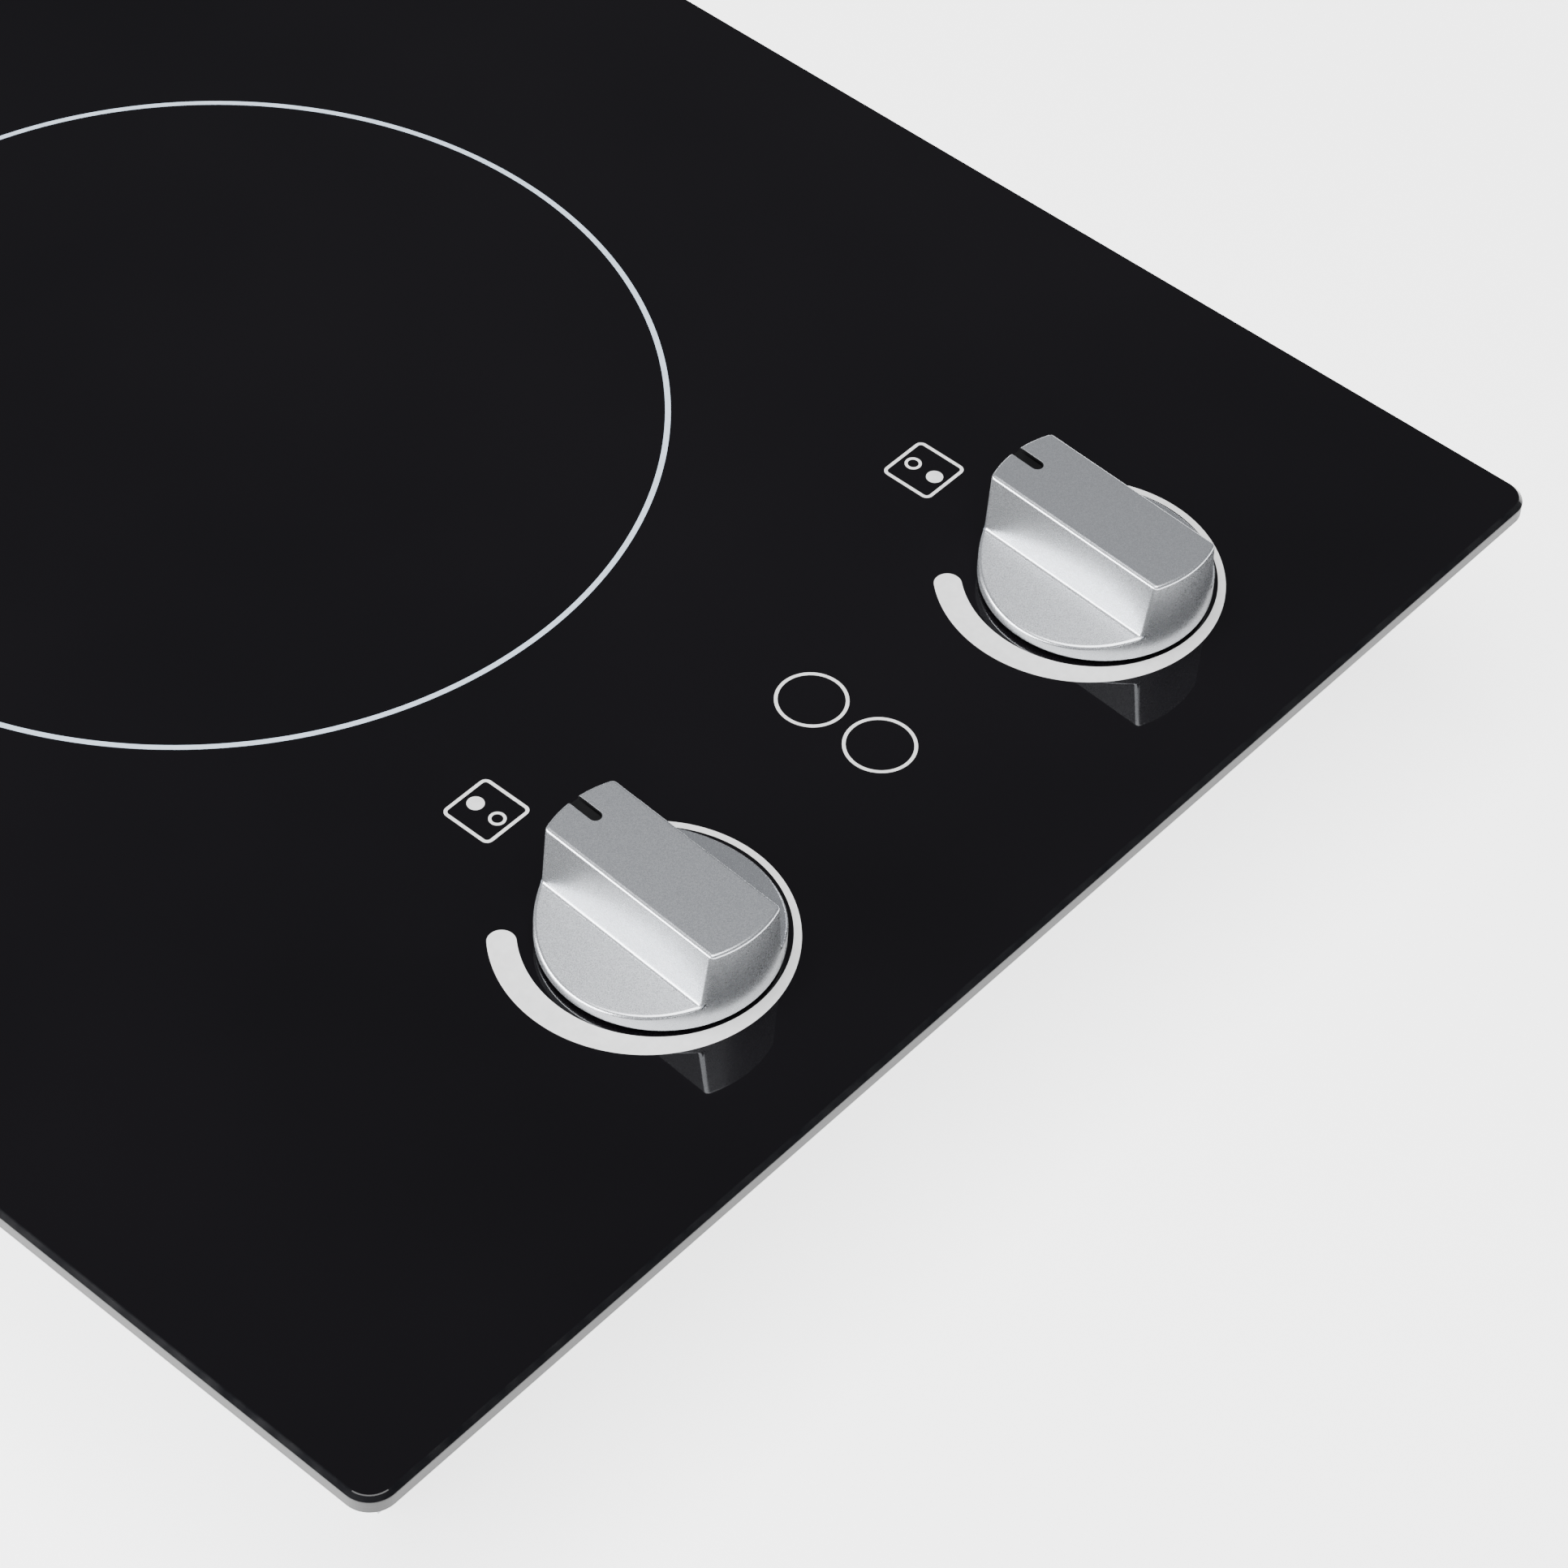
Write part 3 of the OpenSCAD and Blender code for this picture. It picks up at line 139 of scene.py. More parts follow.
# %% Finish helper
class Finish:
    def __init__(self, name, **values):
        self.material = bpy.data.materials.new(name)
        self.material.use_nodes = True
        self.tree = self.material.node_tree
        self.shader = self.tree.nodes["Principled BSDF"]
        for key, value in values.items():
            self.shader.inputs[key.replace("_", " ")].default_value = value
        self.place = self.tree.nodes.new("ShaderNodeTexCoord").outputs["Object"]

    def node(self, kind, inputs):
        made = self.tree.nodes.new("ShaderNode" + kind)
        for key, value in inputs.items():
            if isinstance(value, bpy.types.NodeSocket):
                self.tree.links.new(value, made.inputs[key])
            else:
                made.inputs[key].default_value = value
        return made

    def stretched(self, scale):
        return self.node("Mapping", {"Vector": self.place, "Scale": scale}).outputs[0]

    def noise(self, scale, detail=4.0, vector=None):
        made = self.node("TexNoise", {"Vector": vector or self.place, "Scale": scale,
                                      "Detail": detail, "Roughness": 0.55})
        return made.outputs["Fac"]

    def cells(self, scale):
        """A plain random value for each small cell of the surface."""
        colour = self.node("TexVoronoi", {"Vector": self.place, "Scale": scale}).outputs["Color"]
        return self.node("SeparateColor", {"Color": colour}).outputs[0]

    def ramp(self, value, stops):
        made = self.node("ValToRGB", {"Fac": value})
        for element, (at, colour) in zip(made.color_ramp.elements, stops):
            element.position = at
            element.color = (*colour, 1)
        return made.outputs["Color"]

    def spread(self, value, low, high, start=0.3, end=0.7):
        made = self.node("MapRange", {"Value": value, "From Min": start, "From Max": end,
                                      "To Min": low, "To Max": high})
        return made.outputs["Result"]

    def drive(self, socket, value):
        self.tree.links.new(value, self.shader.inputs[socket])

    def bump(self, value, strength, distance):
        inputs = {"Height": value, "Strength": strength, "Distance": distance}
        self.drive("Normal", self.node("Bump", inputs).outputs["Normal"])


# %% Mottled finish
def tint(colour, amount):
    return tuple(max(0.0, min(1.0, c * amount)) for c in colour)


def mottled(name, colour, rough, metal=0.0, scale=60, vary=0.12, grain=900, bump=0.05, **values):
    """A finish whose colour and gloss drift a little over the surface, with a fine grain."""
    f = Finish(name, Metallic=metal, **values)
    drift = f.noise(scale)
    f.drive("Base Color", f.ramp(drift, [(0.3, tint(colour, 1 - vary)),
                                         (0.7, tint(colour, 1 + vary))]))
    f.drive("Roughness", f.spread(f.noise(scale * 2.3), rough * 0.85, rough * 1.15))
    f.bump(f.noise(grain, 2), 0.5, bump * MM)
    return f.material


# %% [markdown]
# ## Mesh helpers
# Pieces could be pushed and pulled out of Blender's ready-made shapes. These are flat or turned and
# have exact sizes, so they are built from lists of points and faces instead: loops of points are
# stacked, and faces join one loop to the next. Every piece is then told which part of the model it
# moves with and where it takes its finish from, and the engineering node that it stands for is
# hidden.


# %% Loops of points
def ring_points(x, y, z, r, count):
    return [(x + r * math.cos(2 * math.pi * k / count),
             y + r * math.sin(2 * math.pi * k / count), z) for k in range(count)]


def join_loops(count, loops, wrap=False):
    """Faces between stacked loops of count points: a tube that is capped, or wrapped to a ring."""
    faces = []
    for j in range(loops if wrap else loops - 1):
        a, b = j * count, ((j + 1) % loops) * count
        faces += [(a + k, a + (k + 1) % count, b + (k + 1) % count, b + k) for k in range(count)]
    if not wrap:
        faces.append(tuple(reversed(range(count))))
        faces.append(tuple((loops - 1) * count + k for k in range(count)))
    return faces


# %% Pieces
def hand_over(made, body, node):
    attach(made, body)
    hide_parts(node)


def object_from(name, points, faces, materials=()):
    mesh = bpy.data.meshes.new(name)
    mesh.from_pydata(points, [], faces)
    mesh.validate()
    for material in materials:
        mesh.materials.append(material)
    made = bpy.data.objects.new(name, mesh)
    bpy.context.scene.collection.objects.link(made)
    return made


def clean(made, weld=None):
    """Turns every face outwards, and welds points that lie closer together than weld."""
    work = bmesh.new()
    work.from_mesh(made.data)
    if weld:
        bmesh.ops.remove_doubles(work, verts=work.verts, dist=weld)
    bmesh.ops.recalc_face_normals(work, faces=work.faces)
    work.to_mesh(made.data)
    work.free()


# %% Tools that change a solid
def apply_step(target, step):
    with bpy.context.temp_override(object=target, active_object=target):
        bpy.ops.object.modifier_apply(modifier=step.name)


def combine(target, tool, how):
    """Cuts the tool away from the target, or keeps only what they share."""
    step = target.modifiers.new(how, "BOOLEAN")
    step.operation, step.solver, step.object = how, "EXACT", tool
    apply_step(target, step)
    bpy.data.objects.remove(tool)


def round_edges(target, width, segments):
    """Rounds every sharp edge, inside corners as well."""
    step = target.modifiers.new("round", "BEVEL")
    step.width, step.segments, step.limit_method = width, segments, "ANGLE"
    step.angle_limit = math.radians(34)
    step.use_clamp_overlap = False
    apply_step(target, step)


# %% [markdown]
# ## Black glass-ceramic
# The plate is black all through and polished on top, so it shows almost nothing but faint
# reflections. A mirror-flat black would look like a drawing, so its gloss wanders very slightly.
# Its edge was ground with diamond wheels: a bevel above, a straight matt wall, and a bevel below.
# Ground glass scatters light and looks grey, so the wall and the bevels have their own finishes.

# %% Glass finishes
glass = Finish("black_glass", Metallic=0.0, IOR=1.5)
haze = glass.noise(9, 3)
glass.drive("Base Color", glass.ramp(haze, [(0.3, (0.0032, 0.0028, 0.0036)),
                                            (0.7, (0.0046, 0.0040, 0.0050))]))
glass.drive("Roughness", glass.spread(glass.noise(35, 5), 0.022, 0.04))
glass.bump(glass.noise(260, 3), 0.06, 0.01 * MM)

wall = Finish("ground_wall", Metallic=0.0, IOR=1.5, Specular_IOR_Level=0.2)
streak = wall.noise(40, 6, vector=wall.stretched((1, 1, 60)))
wall.drive("Base Color", wall.ramp(streak, [(0.25, (0.050, 0.050, 0.050)),
                                            (0.75, (0.080, 0.080, 0.080))]))
wall.drive("Roughness", wall.spread(streak, 0.34, 0.5))
wall.bump(wall.noise(1800, 3), 0.4, 0.02 * MM)

bevel = Finish("ground_bevel", Metallic=0.0, IOR=1.5, Specular_IOR_Level=0.35)
speck = bevel.noise(300, 6)
bevel.drive("Base Color", bevel.ramp(speck, [(0.3, (0.004, 0.004, 0.005)),
                                             (0.7, (0.010, 0.010, 0.011))]))
bevel.drive("Roughness", bevel.spread(speck, 0.08, 0.13))
bevel.bump(bevel.noise(2200, 2), 0.1, 0.01 * MM)
GLASS_FINISHES = [f.material for f in (glass, wall, bevel)]
print("glass finishes", [m.name for m in GLASS_FINISHES])

# %% [markdown]
# ## The glass plate
# The plate could be a box with a bevel modifier, but then the faces of the bevel are hard to pick
# out for a finish of their own. Instead one outline with round corners is stacked six times: in on
# the underside, out at both ends of the wall, and in again in three short steps to the top face.
# The steps leave the top corners of the bevel slightly eased. The two spindle holes are drilled
# last, by taking cylinders away.

# %% Glass plate
CORNER_R, BEVEL, EASE = 5 * MM, 0.8 * MM, 0.12 * MM
CORNER_STEPS = 14
POLISHED, WALL, GROUND = 0, 1, 2


def rounded_outline(half_w, half_d, r, z, steps):
    points = []
    for quarter, (sx, sy) in enumerate([(1, 1), (-1, 1), (-1, -1), (1, -1)]):
        for k in range(steps + 1):
            a = math.radians(90 * (quarter + k / steps))
            points.append((sx * (half_w - r) + r * math.cos(a),
                           sy * (half_d - r) + r * math.sin(a), z))
    return points


def glass_loop(inset, z):
    return rounded_outline(HALF_W - inset, HALF_D - inset, CORNER_R - inset, z, CORNER_STEPS)


levels = [(BEVEL, TOP - THICK), (0, TOP - THICK + BEVEL), (0, TOP - BEVEL - EASE),
          (EASE * 0.4, TOP - BEVEL + EASE * 0.4), (BEVEL - EASE * 0.6, TOP - EASE * 0.6),
          (BEVEL + EASE, TOP)]
points = [p for inset, z in levels for p in glass_loop(inset, z)]
plate = object_from("hob_glass", points, join_loops(4 * (CORNER_STEPS + 1), len(levels)),
                    GLASS_FINISHES)
for face in plate.data.polygons:
    rise = face.normal.z
    flat = rise > 0.999 or rise <= -0.95
    face.material_index = POLISHED if flat else WALL if abs(rise) < 0.5 else GROUND
hand_over(plate, "hob", "glass_plate")

# %% Spindle holes
HOLE_R, HOLE_STEPS, HOLE_REACH = 6 * MM, 48, 0.02
for at in (LEFT, RIGHT):
    drill = [p for z in (TOP - HOLE_REACH, TOP + HOLE_REACH)
             for p in ring_points(at.x, at.y, z, HOLE_R, HOLE_STEPS)]
    combine(plate, object_from("drill", drill, join_loops(HOLE_STEPS, 2)), "DIFFERENCE")
print("glass faces", len(plate.data.polygons))

# %% [markdown]
# ## Printed marks
# The rings, scales and symbols are enamel, screen printed and fired into the glass. A flat image
# laid over the glass could show them, but it would be soft when seen close and would have no edge.
# Here they are thin solid strips a few hundredths of a millimetre high. The zone rings are a cool
# bluish white, and the marks round the controls a neutral light grey.

# %% Print finishes
def enamel(name, colour):
    f = Finish(name, Metallic=0.0, IOR=1.5)
    dots = f.noise(700, 3)
    f.drive("Base Color", f.ramp(dots, [(0.3, tint(colour, 0.94)), (0.7, tint(colour, 1.04))]))
    f.drive("Roughness", f.spread(dots, 0.3, 0.45))
    f.bump(f.noise(1500, 2), 0.3, 0.005 * MM)
    return f.material


RING_PRINT = enamel("ring_enamel", (0.66, 0.77, 0.90))
MARK_PRINT = enamel("mark_enamel", (0.90, 0.90, 0.90))
print("enamels", RING_PRINT.name, MARK_PRINT.name)

# %% Printed strips
PRINT_H = 0.04 * MM


def loop_at(x, y, r, count):
    return [p[:2] for p in ring_points(x, y, 0, r, count)]


def lifted(loop, z):
    return [(x, y, z) for x, y in loop]


def flat_strip(outer, inner):
    """Points and faces of a closed flat strip between two loops, with a little thickness."""
    high = TOP + PRINT_H
    points = lifted(outer, high) + lifted(inner, high) + lifted(inner, TOP) + lifted(outer, TOP)
    return points, join_loops(len(outer), 4, wrap=True)


def circle_line(x, y, r, line, count):
    return flat_strip(loop_at(x, y, r + line / 2, count), loop_at(x, y, r - line / 2, count))


def printed(name, parts, material, node):
    points, faces = [], []
    for part_points, part_faces in parts:
        faces += [tuple(i + len(points) for i in face) for face in part_faces]
        points += part_points
    made = object_from(name, points, faces, [material])
    clean(made)
    hand_over(made, "hob", node)
    print(name, "faces", len(made.data.polygons))


# %% [markdown]
# ## Zone rings, lamp circles and zone symbols
# The front ring is 165 mm across, the rear one 180 mm. Two small circles mark the lamps that shine
# through the glass. Each symbol is a rounded square with a full dot for the zone that the knob
# drives and an open dot for the other zone. All of them are plain strips between two loops, which
# keeps their lines equally wide all round.

# %% Rings and circles
ZONES = [(FRONT + 185 * MM, 82.3 * MM), (FRONT + 383 * MM, 89.8 * MM)]
ZONE_LINE, ZONE_STEPS = 1.0 * MM, 256
printed("zone_ring_print", [circle_line(0.0, y, r, ZONE_LINE, ZONE_STEPS) for y, r in ZONES],
        RING_PRINT, "cooking_zone_rings")

LAMP_R, LAMP_LINE, LAMP_PITCH, LAMP_STEPS = 6.0 * MM, 0.6 * MM, 15 * MM, 96
printed("lamp_circle_print",
        [circle_line(CONTROLS_X, y, LAMP_R, LAMP_LINE, LAMP_STEPS)
         for y in (PRINT_Y, PRINT_Y + LAMP_PITCH)], MARK_PRINT, "lamp_circles")

# %% Zone symbols
SQUARE_HALF, SQUARE_R, SYMBOL_LINE = 5.0 * MM, 1.0 * MM, 0.6 * MM
DOT_R, OPEN_DOT_IN, DOT_SHIFT, DOT_STEPS = 1.5 * MM, 0.98 * MM, 2.45 * MM, 40
SYMBOL_Y = PRINT_Y + 37.1 * MM


def square_loop(x, y, grow):
    outline = rounded_outline(SQUARE_HALF + grow, SQUARE_HALF + grow, SQUARE_R + grow, 0, 6)
    return [(x + p[0], y + p[1]) for p in outline]


def symbol(x, y, driven):
    """The driven zone is the rear one for +1 and the front one for -1."""
    full_dot, open_dot = (x, y + driven * DOT_SHIFT), (x, y - driven * DOT_SHIFT)
    rim = loop_at(*full_dot, DOT_R, DOT_STEPS)
    return [
        flat_strip(square_loop(x, y, SYMBOL_LINE / 2), square_loop(x, y, -SYMBOL_LINE / 2)),
        flat_strip(loop_at(*open_dot, DOT_R, DOT_STEPS),
                   loop_at(*open_dot, OPEN_DOT_IN, DOT_STEPS)),
        (lifted(rim, TOP) + lifted(rim, TOP + PRINT_H), join_loops(DOT_STEPS, 2)),
    ]


printed("zone_symbol_print", symbol(SCALES[0].x, SYMBOL_Y, 1) + symbol(SCALES[1].x, SYMBOL_Y, -1),
        MARK_PRINT, "zone_symbols")

# %% [markdown]
# ## Power scales
# The line round each knob swells clockwise from low to full power. It could be a curve with a
# changing width, but the real one is plain geometry. Its inner edge is a circle, and its outer edge
# is a circle whose middle sits a little off the first one's, which makes the line grow smoothly.
# Both ends are rounded by half circles.

# %% Edges of a scale
SCALE_IN, SCALE_OUT = 22.1 * MM, 25.1 * MM
SCALE_SHIFT, SHIFT_TURN = 1.85 * MM, 153.0
SCALE_START, SCALE_SWEEP = 41.0, 262.0
SCALE_STEPS, CAP_STEPS = 150, 16


def scale_reach(turn):
    """How far the outer edge lies from the scale's middle, in the direction turn."""
    if turn > SHIFT_TURN - 180:
        return SCALE_OUT - SCALE_SHIFT
    d = math.radians(turn - SHIFT_TURN)
    return SCALE_SHIFT * math.cos(d) + math.sqrt(SCALE_OUT**2 - (SCALE_SHIFT * math.sin(d)) ** 2)


def polar(r, turn):
    a = math.radians(turn)
    return Vector((r * math.cos(a), r * math.sin(a)))


def half_cap(turn, side, way):
    """The outer (side 1) or inner (side -1) half of a round end, on the way out from the line."""
    w = (scale_reach(turn) - SCALE_IN) / 2
    middle, out, along = polar(SCALE_IN + w, turn), polar(1, turn), polar(1, turn + 90 * way)
    angles = [math.pi / 2 * k / CAP_STEPS for k in range(1, CAP_STEPS + 1)]
    return [middle + w * (side * math.cos(a) * out + math.sin(a) * along) for a in angles]


# %% Power scales
def scale_loops(at):
    """Outer and inner edge, each with the same number of points and half of each round end."""
    turns = [SCALE_START - SCALE_SWEEP * k / SCALE_STEPS for k in range(SCALE_STEPS + 1)]
    edges = [(1, [polar(scale_reach(t), t) for t in turns]),
             (-1, [polar(SCALE_IN, t) for t in turns])]
    return [[tuple(p + at) for p in
             half_cap(turns[0], side, 1)[::-1] + edge + half_cap(turns[-1], side, -1)]
            for side, edge in edges]


def open_strip(outer, inner):
    n = len(outer)
    high = TOP + PRINT_H
    points = lifted(outer, high) + lifted(inner, high) + lifted(outer, TOP) + lifted(inner, TOP)
    faces = []
    for k in range(n - 1):
        faces += [(k, k + 1, n + k + 1, n + k),
                  (2 * n + k, 3 * n + k, 3 * n + k + 1, 2 * n + k + 1),
                  (k, 2 * n + k, 2 * n + k + 1, k + 1),
                  (n + k, n + k + 1, 3 * n + k + 1, 3 * n + k)]
    return points, faces


printed("power_scale_print", [open_strip(*scale_loops(at)) for at in SCALES],
        MARK_PRINT, "power_scales")

# %% [markdown]
# ## Satin silver knobs
# The knobs are moulded in plastic and coated with a satin metal lacquer. Plain rough metal would
# give the soft shine but not the very fine sparkle of the lacquer. So the surface is divided into
# tiny flakes, and each flake has a slightly different tone and gloss.

# %% Knob finishes
FLAKE_SCALE = 7000.0
satin = Finish("satin_silver", Metallic=0.87, IOR=1.5)
flake = satin.cells(FLAKE_SCALE)
satin.drive("Base Color", satin.ramp(flake, [(0.1, (0.670, 0.690, 0.725)),
                                             (0.9, (0.725, 0.745, 0.782))]))
satin.drive("Roughness", satin.spread(flake, 0.25, 0.31, 0.0, 1.0))
satin.bump(satin.noise(3200, 2), 0.08, 0.01 * MM)
POINTER_BLACK = mottled("pointer_black", (0.004, 0.004, 0.0045), 0.45, scale=200, vary=0.2,
                        grain=3000, bump=0.01, Specular_IOR_Level=0.2)
KNOB_FINISHES = [satin.material, POINTER_BLACK]
print("knob finishes", [m.name for m in KNOB_FINISHES])

# %% [markdown]
# ## Knob shape
# Each knob has a straight grip across a round skirt. Modelling it face by face is slow, and the
# corners where round meets straight never quite fit. Two simple solids that are cut with each other
# give them exactly. The first is one section carried along the grip: a shelf that falls away on
# both sides, and a grip with leaning sides. The second is turned and has the round skirt and ends.
# Then all edges are rounded, and the pointer's groove is cut in from the back end.

# %% Knob sizes
knob_low, knob_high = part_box("left_knob")
KNOB_GAP = knob_low.z - TOP
KNOB_H = knob_high.z - TOP
SKIRT_R, END_R, FOOT_R = 20.2 * MM, 20.1 * MM, 0.5 * MM
SHELF_IN, SHELF_OUT = 5.6 * MM, 3.0 * MM
GRIP_TOP, GRIP_FOOT = 7.6 * MM, 8.9 * MM
GROOVE_HALF, GROOVE_LONG, GROOVE_DEEP = 1.1 * MM, 5.1 * MM, 1.0 * MM
EDGE_ROUND, GROOVE_ROUND = 0.6 * MM, 0.12 * MM
PAST = 0.5 * MM
NEAR_AXIS = 0.02 * MM
BAR_HALF, GROOVE_END = 30 * MM, 26 * MM
REST_TURN = -3.0
KNOB_STEPS = 160
print("knob gap and height in mm", round(KNOB_GAP / MM, 2), round(KNOB_H / MM, 2))


# %% Solids for a knob
def lathe(outline):
    """Closed shape turned about Z from an outline of (r, z) that starts and ends near the axis."""
    points = [p for r, z in outline for p in ring_points(0, 0, z, r, KNOB_STEPS)]
    return points, join_loops(KNOB_STEPS, len(outline))


def block(section, y0, y1):
    """A bar along Y with a closed section of (x, z)."""
    points = [(x, y, z) for y in (y0, y1) for x, z in section]
    return points, join_loops(len(section), 2)


def prism(outline, z0, z1):
    """An upright solid with a closed outline of (x, y)."""
    return lifted(outline, z0) + lifted(outline, z1), join_loops(len(outline), 2)


def arc(cx, cy, r, start, end, steps):
    angles = [math.radians(start + (end - start) * k / steps) for k in range(steps + 1)]
    return [(cx + r * math.cos(a), cy + r * math.sin(a)) for a in angles]


def knob_solid(name, points, faces, finish=0):
    made = object_from(name, points, faces, KNOB_FINISHES)
    clean(made, weld=0.0001 * MM)
    for face in made.data.polygons:
        face.material_index = finish
    return made


# %% One knob
def knob_shape(name):
    fall = (SHELF_IN - SHELF_OUT) / (SKIRT_R - GRIP_FOOT)
    side = [(SKIRT_R + 1 * MM, KNOB_GAP), (SKIRT_R + 1 * MM, SHELF_OUT - fall * MM),
            (GRIP_FOOT, SHELF_IN), (GRIP_TOP, KNOB_H)]
    section = side + [(-x, z) for x, z in reversed(side)]
    knob = knob_solid(name, *block(section, -BAR_HALF, BAR_HALF))
    turned = [(NEAR_AXIS, KNOB_GAP - PAST), (SKIRT_R - FOOT_R, KNOB_GAP - PAST)]
    turned += arc(SKIRT_R - FOOT_R, KNOB_GAP + FOOT_R, FOOT_R, -90, 0, 6)
    turned += [(SKIRT_R, SHELF_IN), (END_R, KNOB_H + 0.1 * MM), (NEAR_AXIS, KNOB_H + 0.1 * MM)]
    combine(knob, knob_solid("turned", *lathe(turned)), "INTERSECT")
    round_edges(knob, EDGE_ROUND, 5)
    line = [(-GROOVE_HALF, GROOVE_END)] + arc(0, END_R - GROOVE_LONG, GROOVE_HALF, 180, 360, 12)
    line += [(GROOVE_HALF, GROOVE_END)]
    groove = knob_solid("groove", *prism(line, KNOB_H - GROOVE_DEEP, KNOB_H + 2 * MM), finish=1)
    combine(knob, groove, "DIFFERENCE")
    round_edges(knob, GROOVE_ROUND, 2)
    return knob


# %% Both knobs
for control, at in (("left_control", LEFT), ("right_control", RIGHT)):
    node = control.replace("_control", "_knob")
    knob = knob_shape(node + "_shell")
    knob.data.shade_smooth()
    rest = Matrix.Rotation(math.radians(REST_TURN), 4, "Z")
    knob.data.transform(Matrix.Translation((at.x, at.y, TOP)) @ rest)
    level = knob.modifiers.new("level", "WEIGHTED_NORMAL")
    level.keep_sharp, level.weight = False, 80
    hand_over(knob, control, node)
    print(knob.name, "faces", len(knob.data.polygons), "box",
          [round(v / MM, 2) for v in knob.dimensions])

# %% [markdown]
# ## Finishes for the parts of the model that stay
# The pan and its brackets are zinc coated sheet steel with a faint flowery pattern of crystals.
# Other parts are moulded plastic, rubber, brass, pressed fibre or bright screws. One grey for them
# all would be quicker, but a look inside would then tell nothing. So each group gets one finish,
# with its own grain at its own scale, and a table says which group gets which.

# %% Sheet steel finish
CRYSTAL_SCALE = 160.0


def zinc(name, colour, rough=0.34):
    f = Finish(name, Metallic=1.0)
    facet = f.cells(CRYSTAL_SCALE)
    f.drive("Base Color", f.ramp(facet, [(0.0, tint(colour, 0.93)), (1.0, tint(colour, 1.05))]))
    f.drive("Roughness", f.spread(facet, rough * 0.85, rough * 1.15, 0.0, 1.0))
    f.bump(f.noise(500, 3), 0.2, 0.02 * MM)
    return f.material


ZINC = zinc("zinc_sheet", (0.36, 0.37, 0.385))
print("sheet finish", ZINC.name)

# %% Metal, glass and ceramic finishes
SPRING_STEEL = mottled("spring_steel", (0.34, 0.35, 0.37), 0.32, metal=1.0,
                       scale=80, vary=0.1, grain=1200, bump=0.02)
BRIGHT = mottled("bright_zinc_screw", (0.68, 0.69, 0.70), 0.24, metal=1.0,
                 scale=240, vary=0.08, grain=2000, bump=0.01)
BRASS = mottled("brass", (0.72, 0.53, 0.22), 0.28, metal=1.0,
                scale=200, vary=0.1, grain=1800, bump=0.01)
DARK_ALLOY = mottled("oxidised_ribbon", (0.12, 0.10, 0.09), 0.55, metal=0.8,
                     scale=400, vary=0.2, grain=1500, bump=0.02)
CERAMIC = mottled("plain_ceramic", (0.78, 0.75, 0.68), 0.55,
                  scale=200, vary=0.04, grain=1500, bump=0.03)
CLEAR = mottled("clear_glass", (0.80, 0.83, 0.85), 0.1,
                scale=100, vary=0.03, grain=900, bump=0.005, Alpha=0.55)
FIBRE = mottled("pressed_fibre", (0.72, 0.69, 0.60), 0.9,
                scale=300, vary=0.08, grain=900, bump=0.15)

# %% Plastic, rubber and wire finishes
FOAM = mottled("seal_foam", (0.035, 0.035, 0.037), 0.85,
               scale=500, vary=0.3, grain=1600, bump=0.12)
RUBBER = mottled("black_rubber", (0.02, 0.02, 0.021), 0.6,
                 scale=200, vary=0.25, grain=1800, bump=0.03)
DARK_PLASTIC = mottled("dark_plastic", (0.03, 0.03, 0.032), 0.48,
                       scale=120, vary=0.15, grain=2400, bump=0.03)
PALE_PLASTIC = mottled("pale_plastic", (0.68, 0.66, 0.58), 0.45,
                       scale=120, vary=0.05, grain=2000, bump=0.02)
RED_LENS = mottled("red_lens", (0.45, 0.03, 0.02), 0.15,
                   scale=100, vary=0.1, grain=900, bump=0.005)
BROWN_WIRE = mottled("brown_sleeve", (0.14, 0.06, 0.03), 0.45,
                     scale=200, vary=0.12, grain=2200, bump=0.02)
PALE_WIRE = mottled("woven_sleeve", (0.70, 0.66, 0.55), 0.8,
                    scale=300, vary=0.1, grain=2600, bump=0.06)
RED_WIRE = mottled("red_sleeve", (0.42, 0.03, 0.025), 0.45,
                   scale=200, vary=0.12, grain=2200, bump=0.02)
print("finishes made so far", len(bpy.data.materials))

# %% Which node gets which finish
finish_for = {
    "base_pan": ZINC, "heat_shield": ZINC, "control_bracket": ZINC, "bridge": ZINC,
    "element_dish": ZINC, "regulator_plate": ZINC,
    "spring_clips": SPRING_STEEL, "springs": SPRING_STEEL, "knob_spring": SPRING_STEEL,
    "spindle": BRIGHT, "screws": BRIGHT,
    "worktop_seal": FOAM, "glass_adhesive": RUBBER, "spindle_seal": RUBBER, "cable_gland": RUBBER,
    "terminal_box": DARK_PLASTIC, "terminal_lid": DARK_PLASTIC,
    "cable_clamp": PALE_PLASTIC, "terminal_block": PALE_PLASTIC, "regulator_case": PALE_PLASTIC,
    "lamp_holder": PALE_PLASTIC,
    "terminal_clamps": BRASS, "earth_screw": BRASS, "regulator_tabs": BRASS,
    "lamp_lenses": RED_LENS, "neon_lamps": CLEAR, "limiter_tube": CLEAR, "limiter_head": CERAMIC,
    "insulation_bed": FIBRE, "insulation_ring": FIBRE, "ribbon": DARK_ALLOY,
    "supply_wires": BROWN_WIRE, "element_wires": PALE_WIRE, "lamp_wires": RED_WIRE,
    "pointer": POINTER_BLACK,
}
remade = {"glass_plate", "cooking_zone_rings", "lamp_circles", "zone_symbols", "power_scales",
          "left_knob", "right_knob"}
longest_first = sorted(finish_for, key=len, reverse=True)
for name, part in nodes.items():
    if name in remade:
        continue
    group = next(key for key in longest_first if name.endswith(key))
    part.data.materials.clear()
    part.data.materials.append(finish_for[group])
print("finished", len(nodes) - len(remade), "carried-over nodes")

# %% [markdown]
# ## Floor
# The hob stands on a wide white sheet. Lit by lamps alone it would turn grey away from them, so it
# also glows a little. That keeps it white all over, with only a soft shadow near the hob.

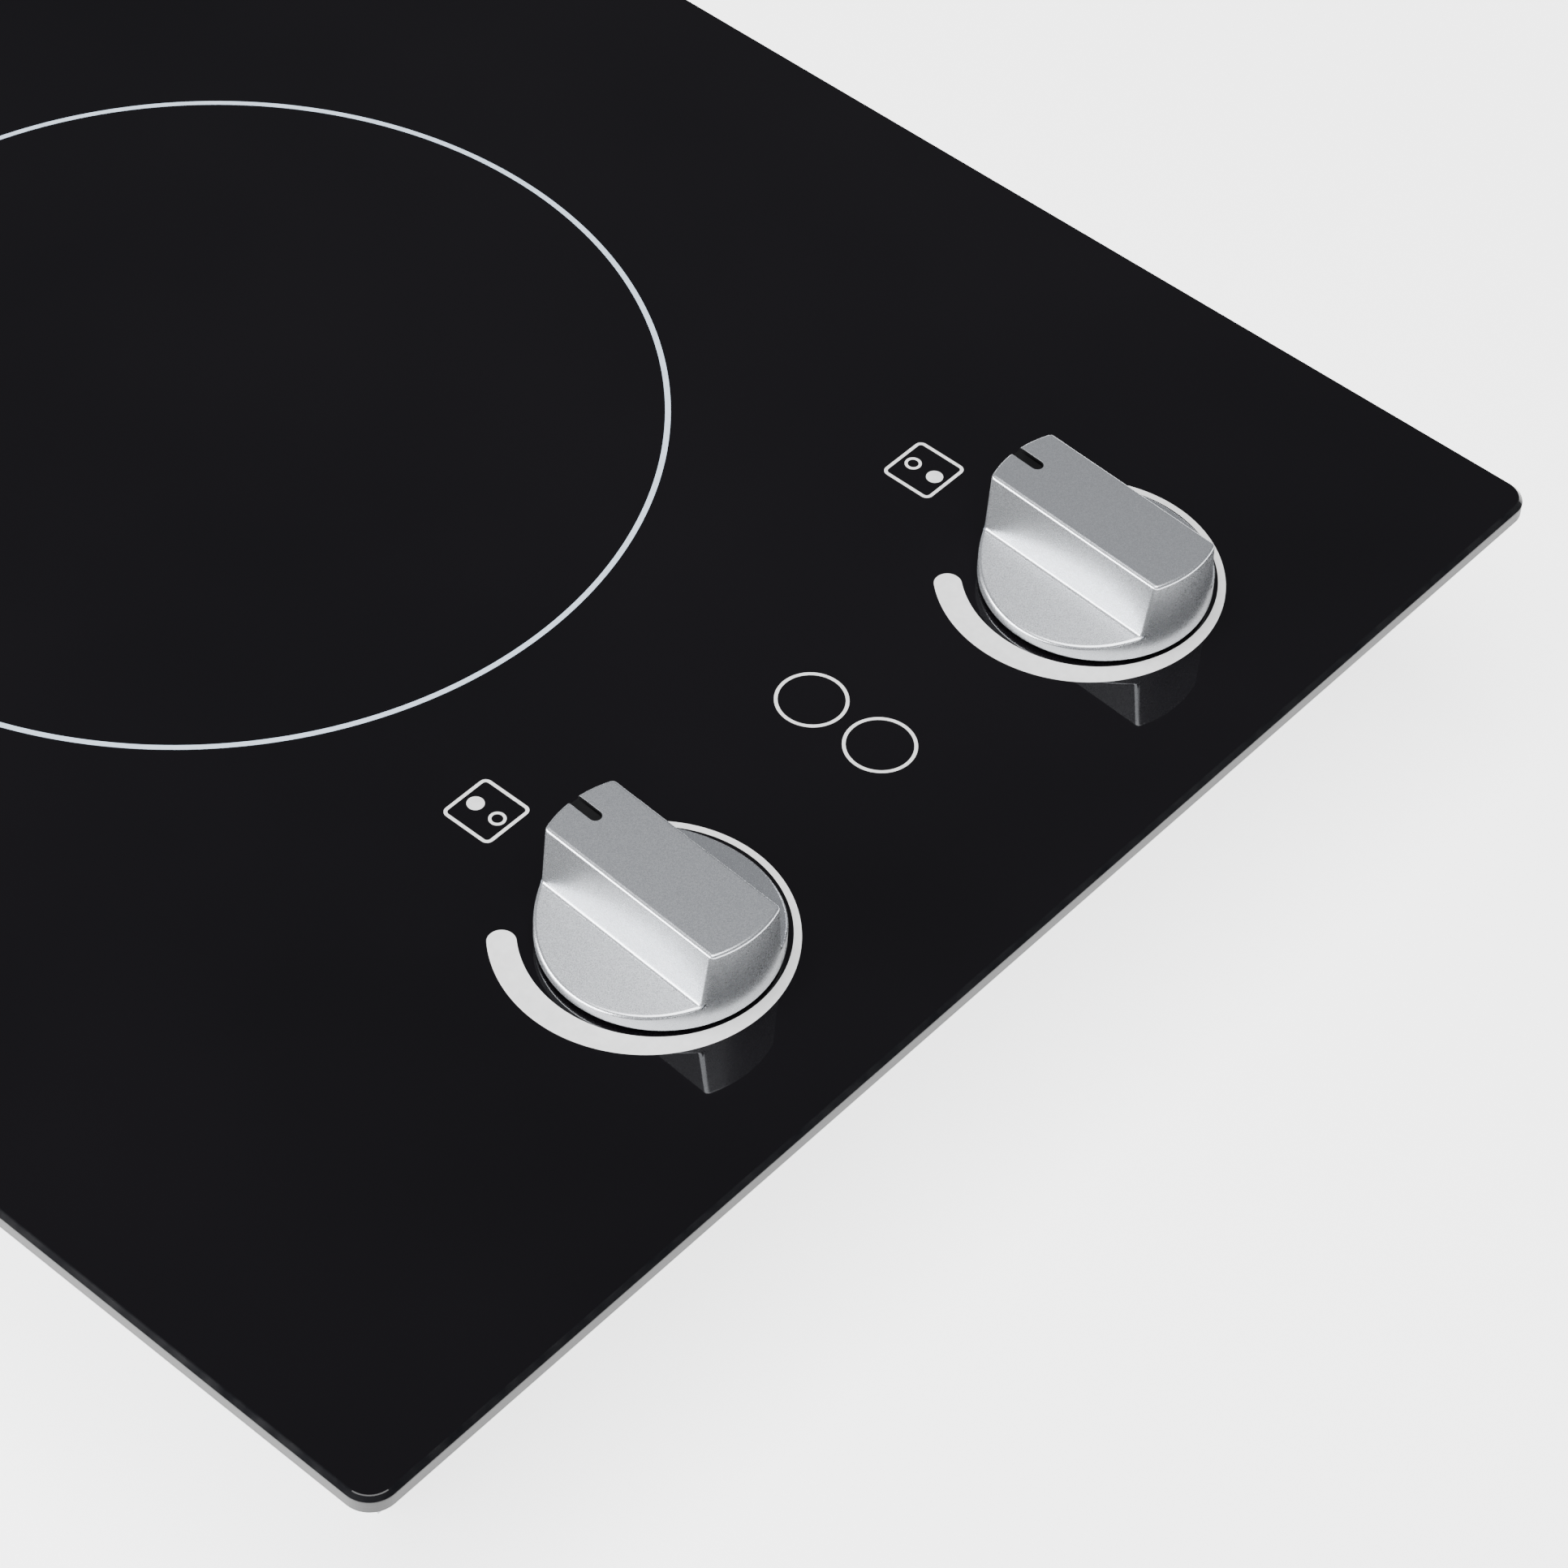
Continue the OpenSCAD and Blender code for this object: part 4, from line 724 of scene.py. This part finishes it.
# %% Floor
FLOOR_HALF, FLOOR_GAP = 12.0, 0.0005
white = Finish("white_floor", Roughness=0.9)
drift = white.noise(3, 2)
white.drive("Base Color", white.ramp(drift, [(0.3, (0.93, 0.93, 0.93)), (0.7, (0.95, 0.95, 0.95))]))
white.drive("Emission Color", white.ramp(drift, [(0.3, (0.99, 0.99, 0.99)), (0.7, (1, 1, 1))]))
white.drive("Emission Strength", white.spread(drift, 2.75, 2.85))
white.drive("Roughness", white.spread(drift, 0.88, 0.92))
corners = [(-FLOOR_HALF, -FLOOR_HALF, 0), (FLOOR_HALF, -FLOOR_HALF, 0),
           (FLOOR_HALF, FLOOR_HALF, 0), (-FLOOR_HALF, FLOOR_HALF, 0)]
floor = object_from("floor", corners, [(0, 1, 2, 3)], [white.material])
floor.location.z = cad_low.z - FLOOR_GAP
print("floor is", 2 * FLOOR_HALF, "m wide")

# %% [markdown]
# ## Light
# Small lamps would leave hard spots on the satin metal, so both lamps are wide soft panels. A very
# large one hangs overhead, and every rounded edge mirrors it as a bright line. A long low strip at
# the back left lights the left walls of the grips by way of the shelves below them. The side that
# the glass mirrors towards the camera is left dark, so the glass stays black.

# %% Light
def soft_panel(name, place, aim, width, height, power):
    light = bpy.data.lights.new(name, "AREA")
    light.shape, light.size, light.size_y, light.energy = "RECTANGLE", width, height, power
    lamp = bpy.data.objects.new(name, light)
    bpy.context.scene.collection.objects.link(lamp)
    lamp.location = place
    lamp.rotation_euler = (Vector(aim) - Vector(place)).to_track_quat("-Z", "Y").to_euler()
    print(name, "of", power, "W at", place)


soft_panel("overhead", place=(-0.55, -0.47, 2.2), aim=(-0.55, -0.47, 0),
           width=2.2, height=2.0, power=105)
soft_panel("left_strip", place=(-1.75, 0.85, 0.40), aim=(0, -0.2, 0.06),
           width=2.4, height=0.36, power=95)
world = bpy.data.worlds.new("studio")
bpy.context.scene.world = world
world.use_nodes = True
air = world.node_tree.nodes["Background"]
air.inputs["Color"].default_value = (0.9, 0.93, 1.0, 1)
air.inputs["Strength"].default_value = 0.14
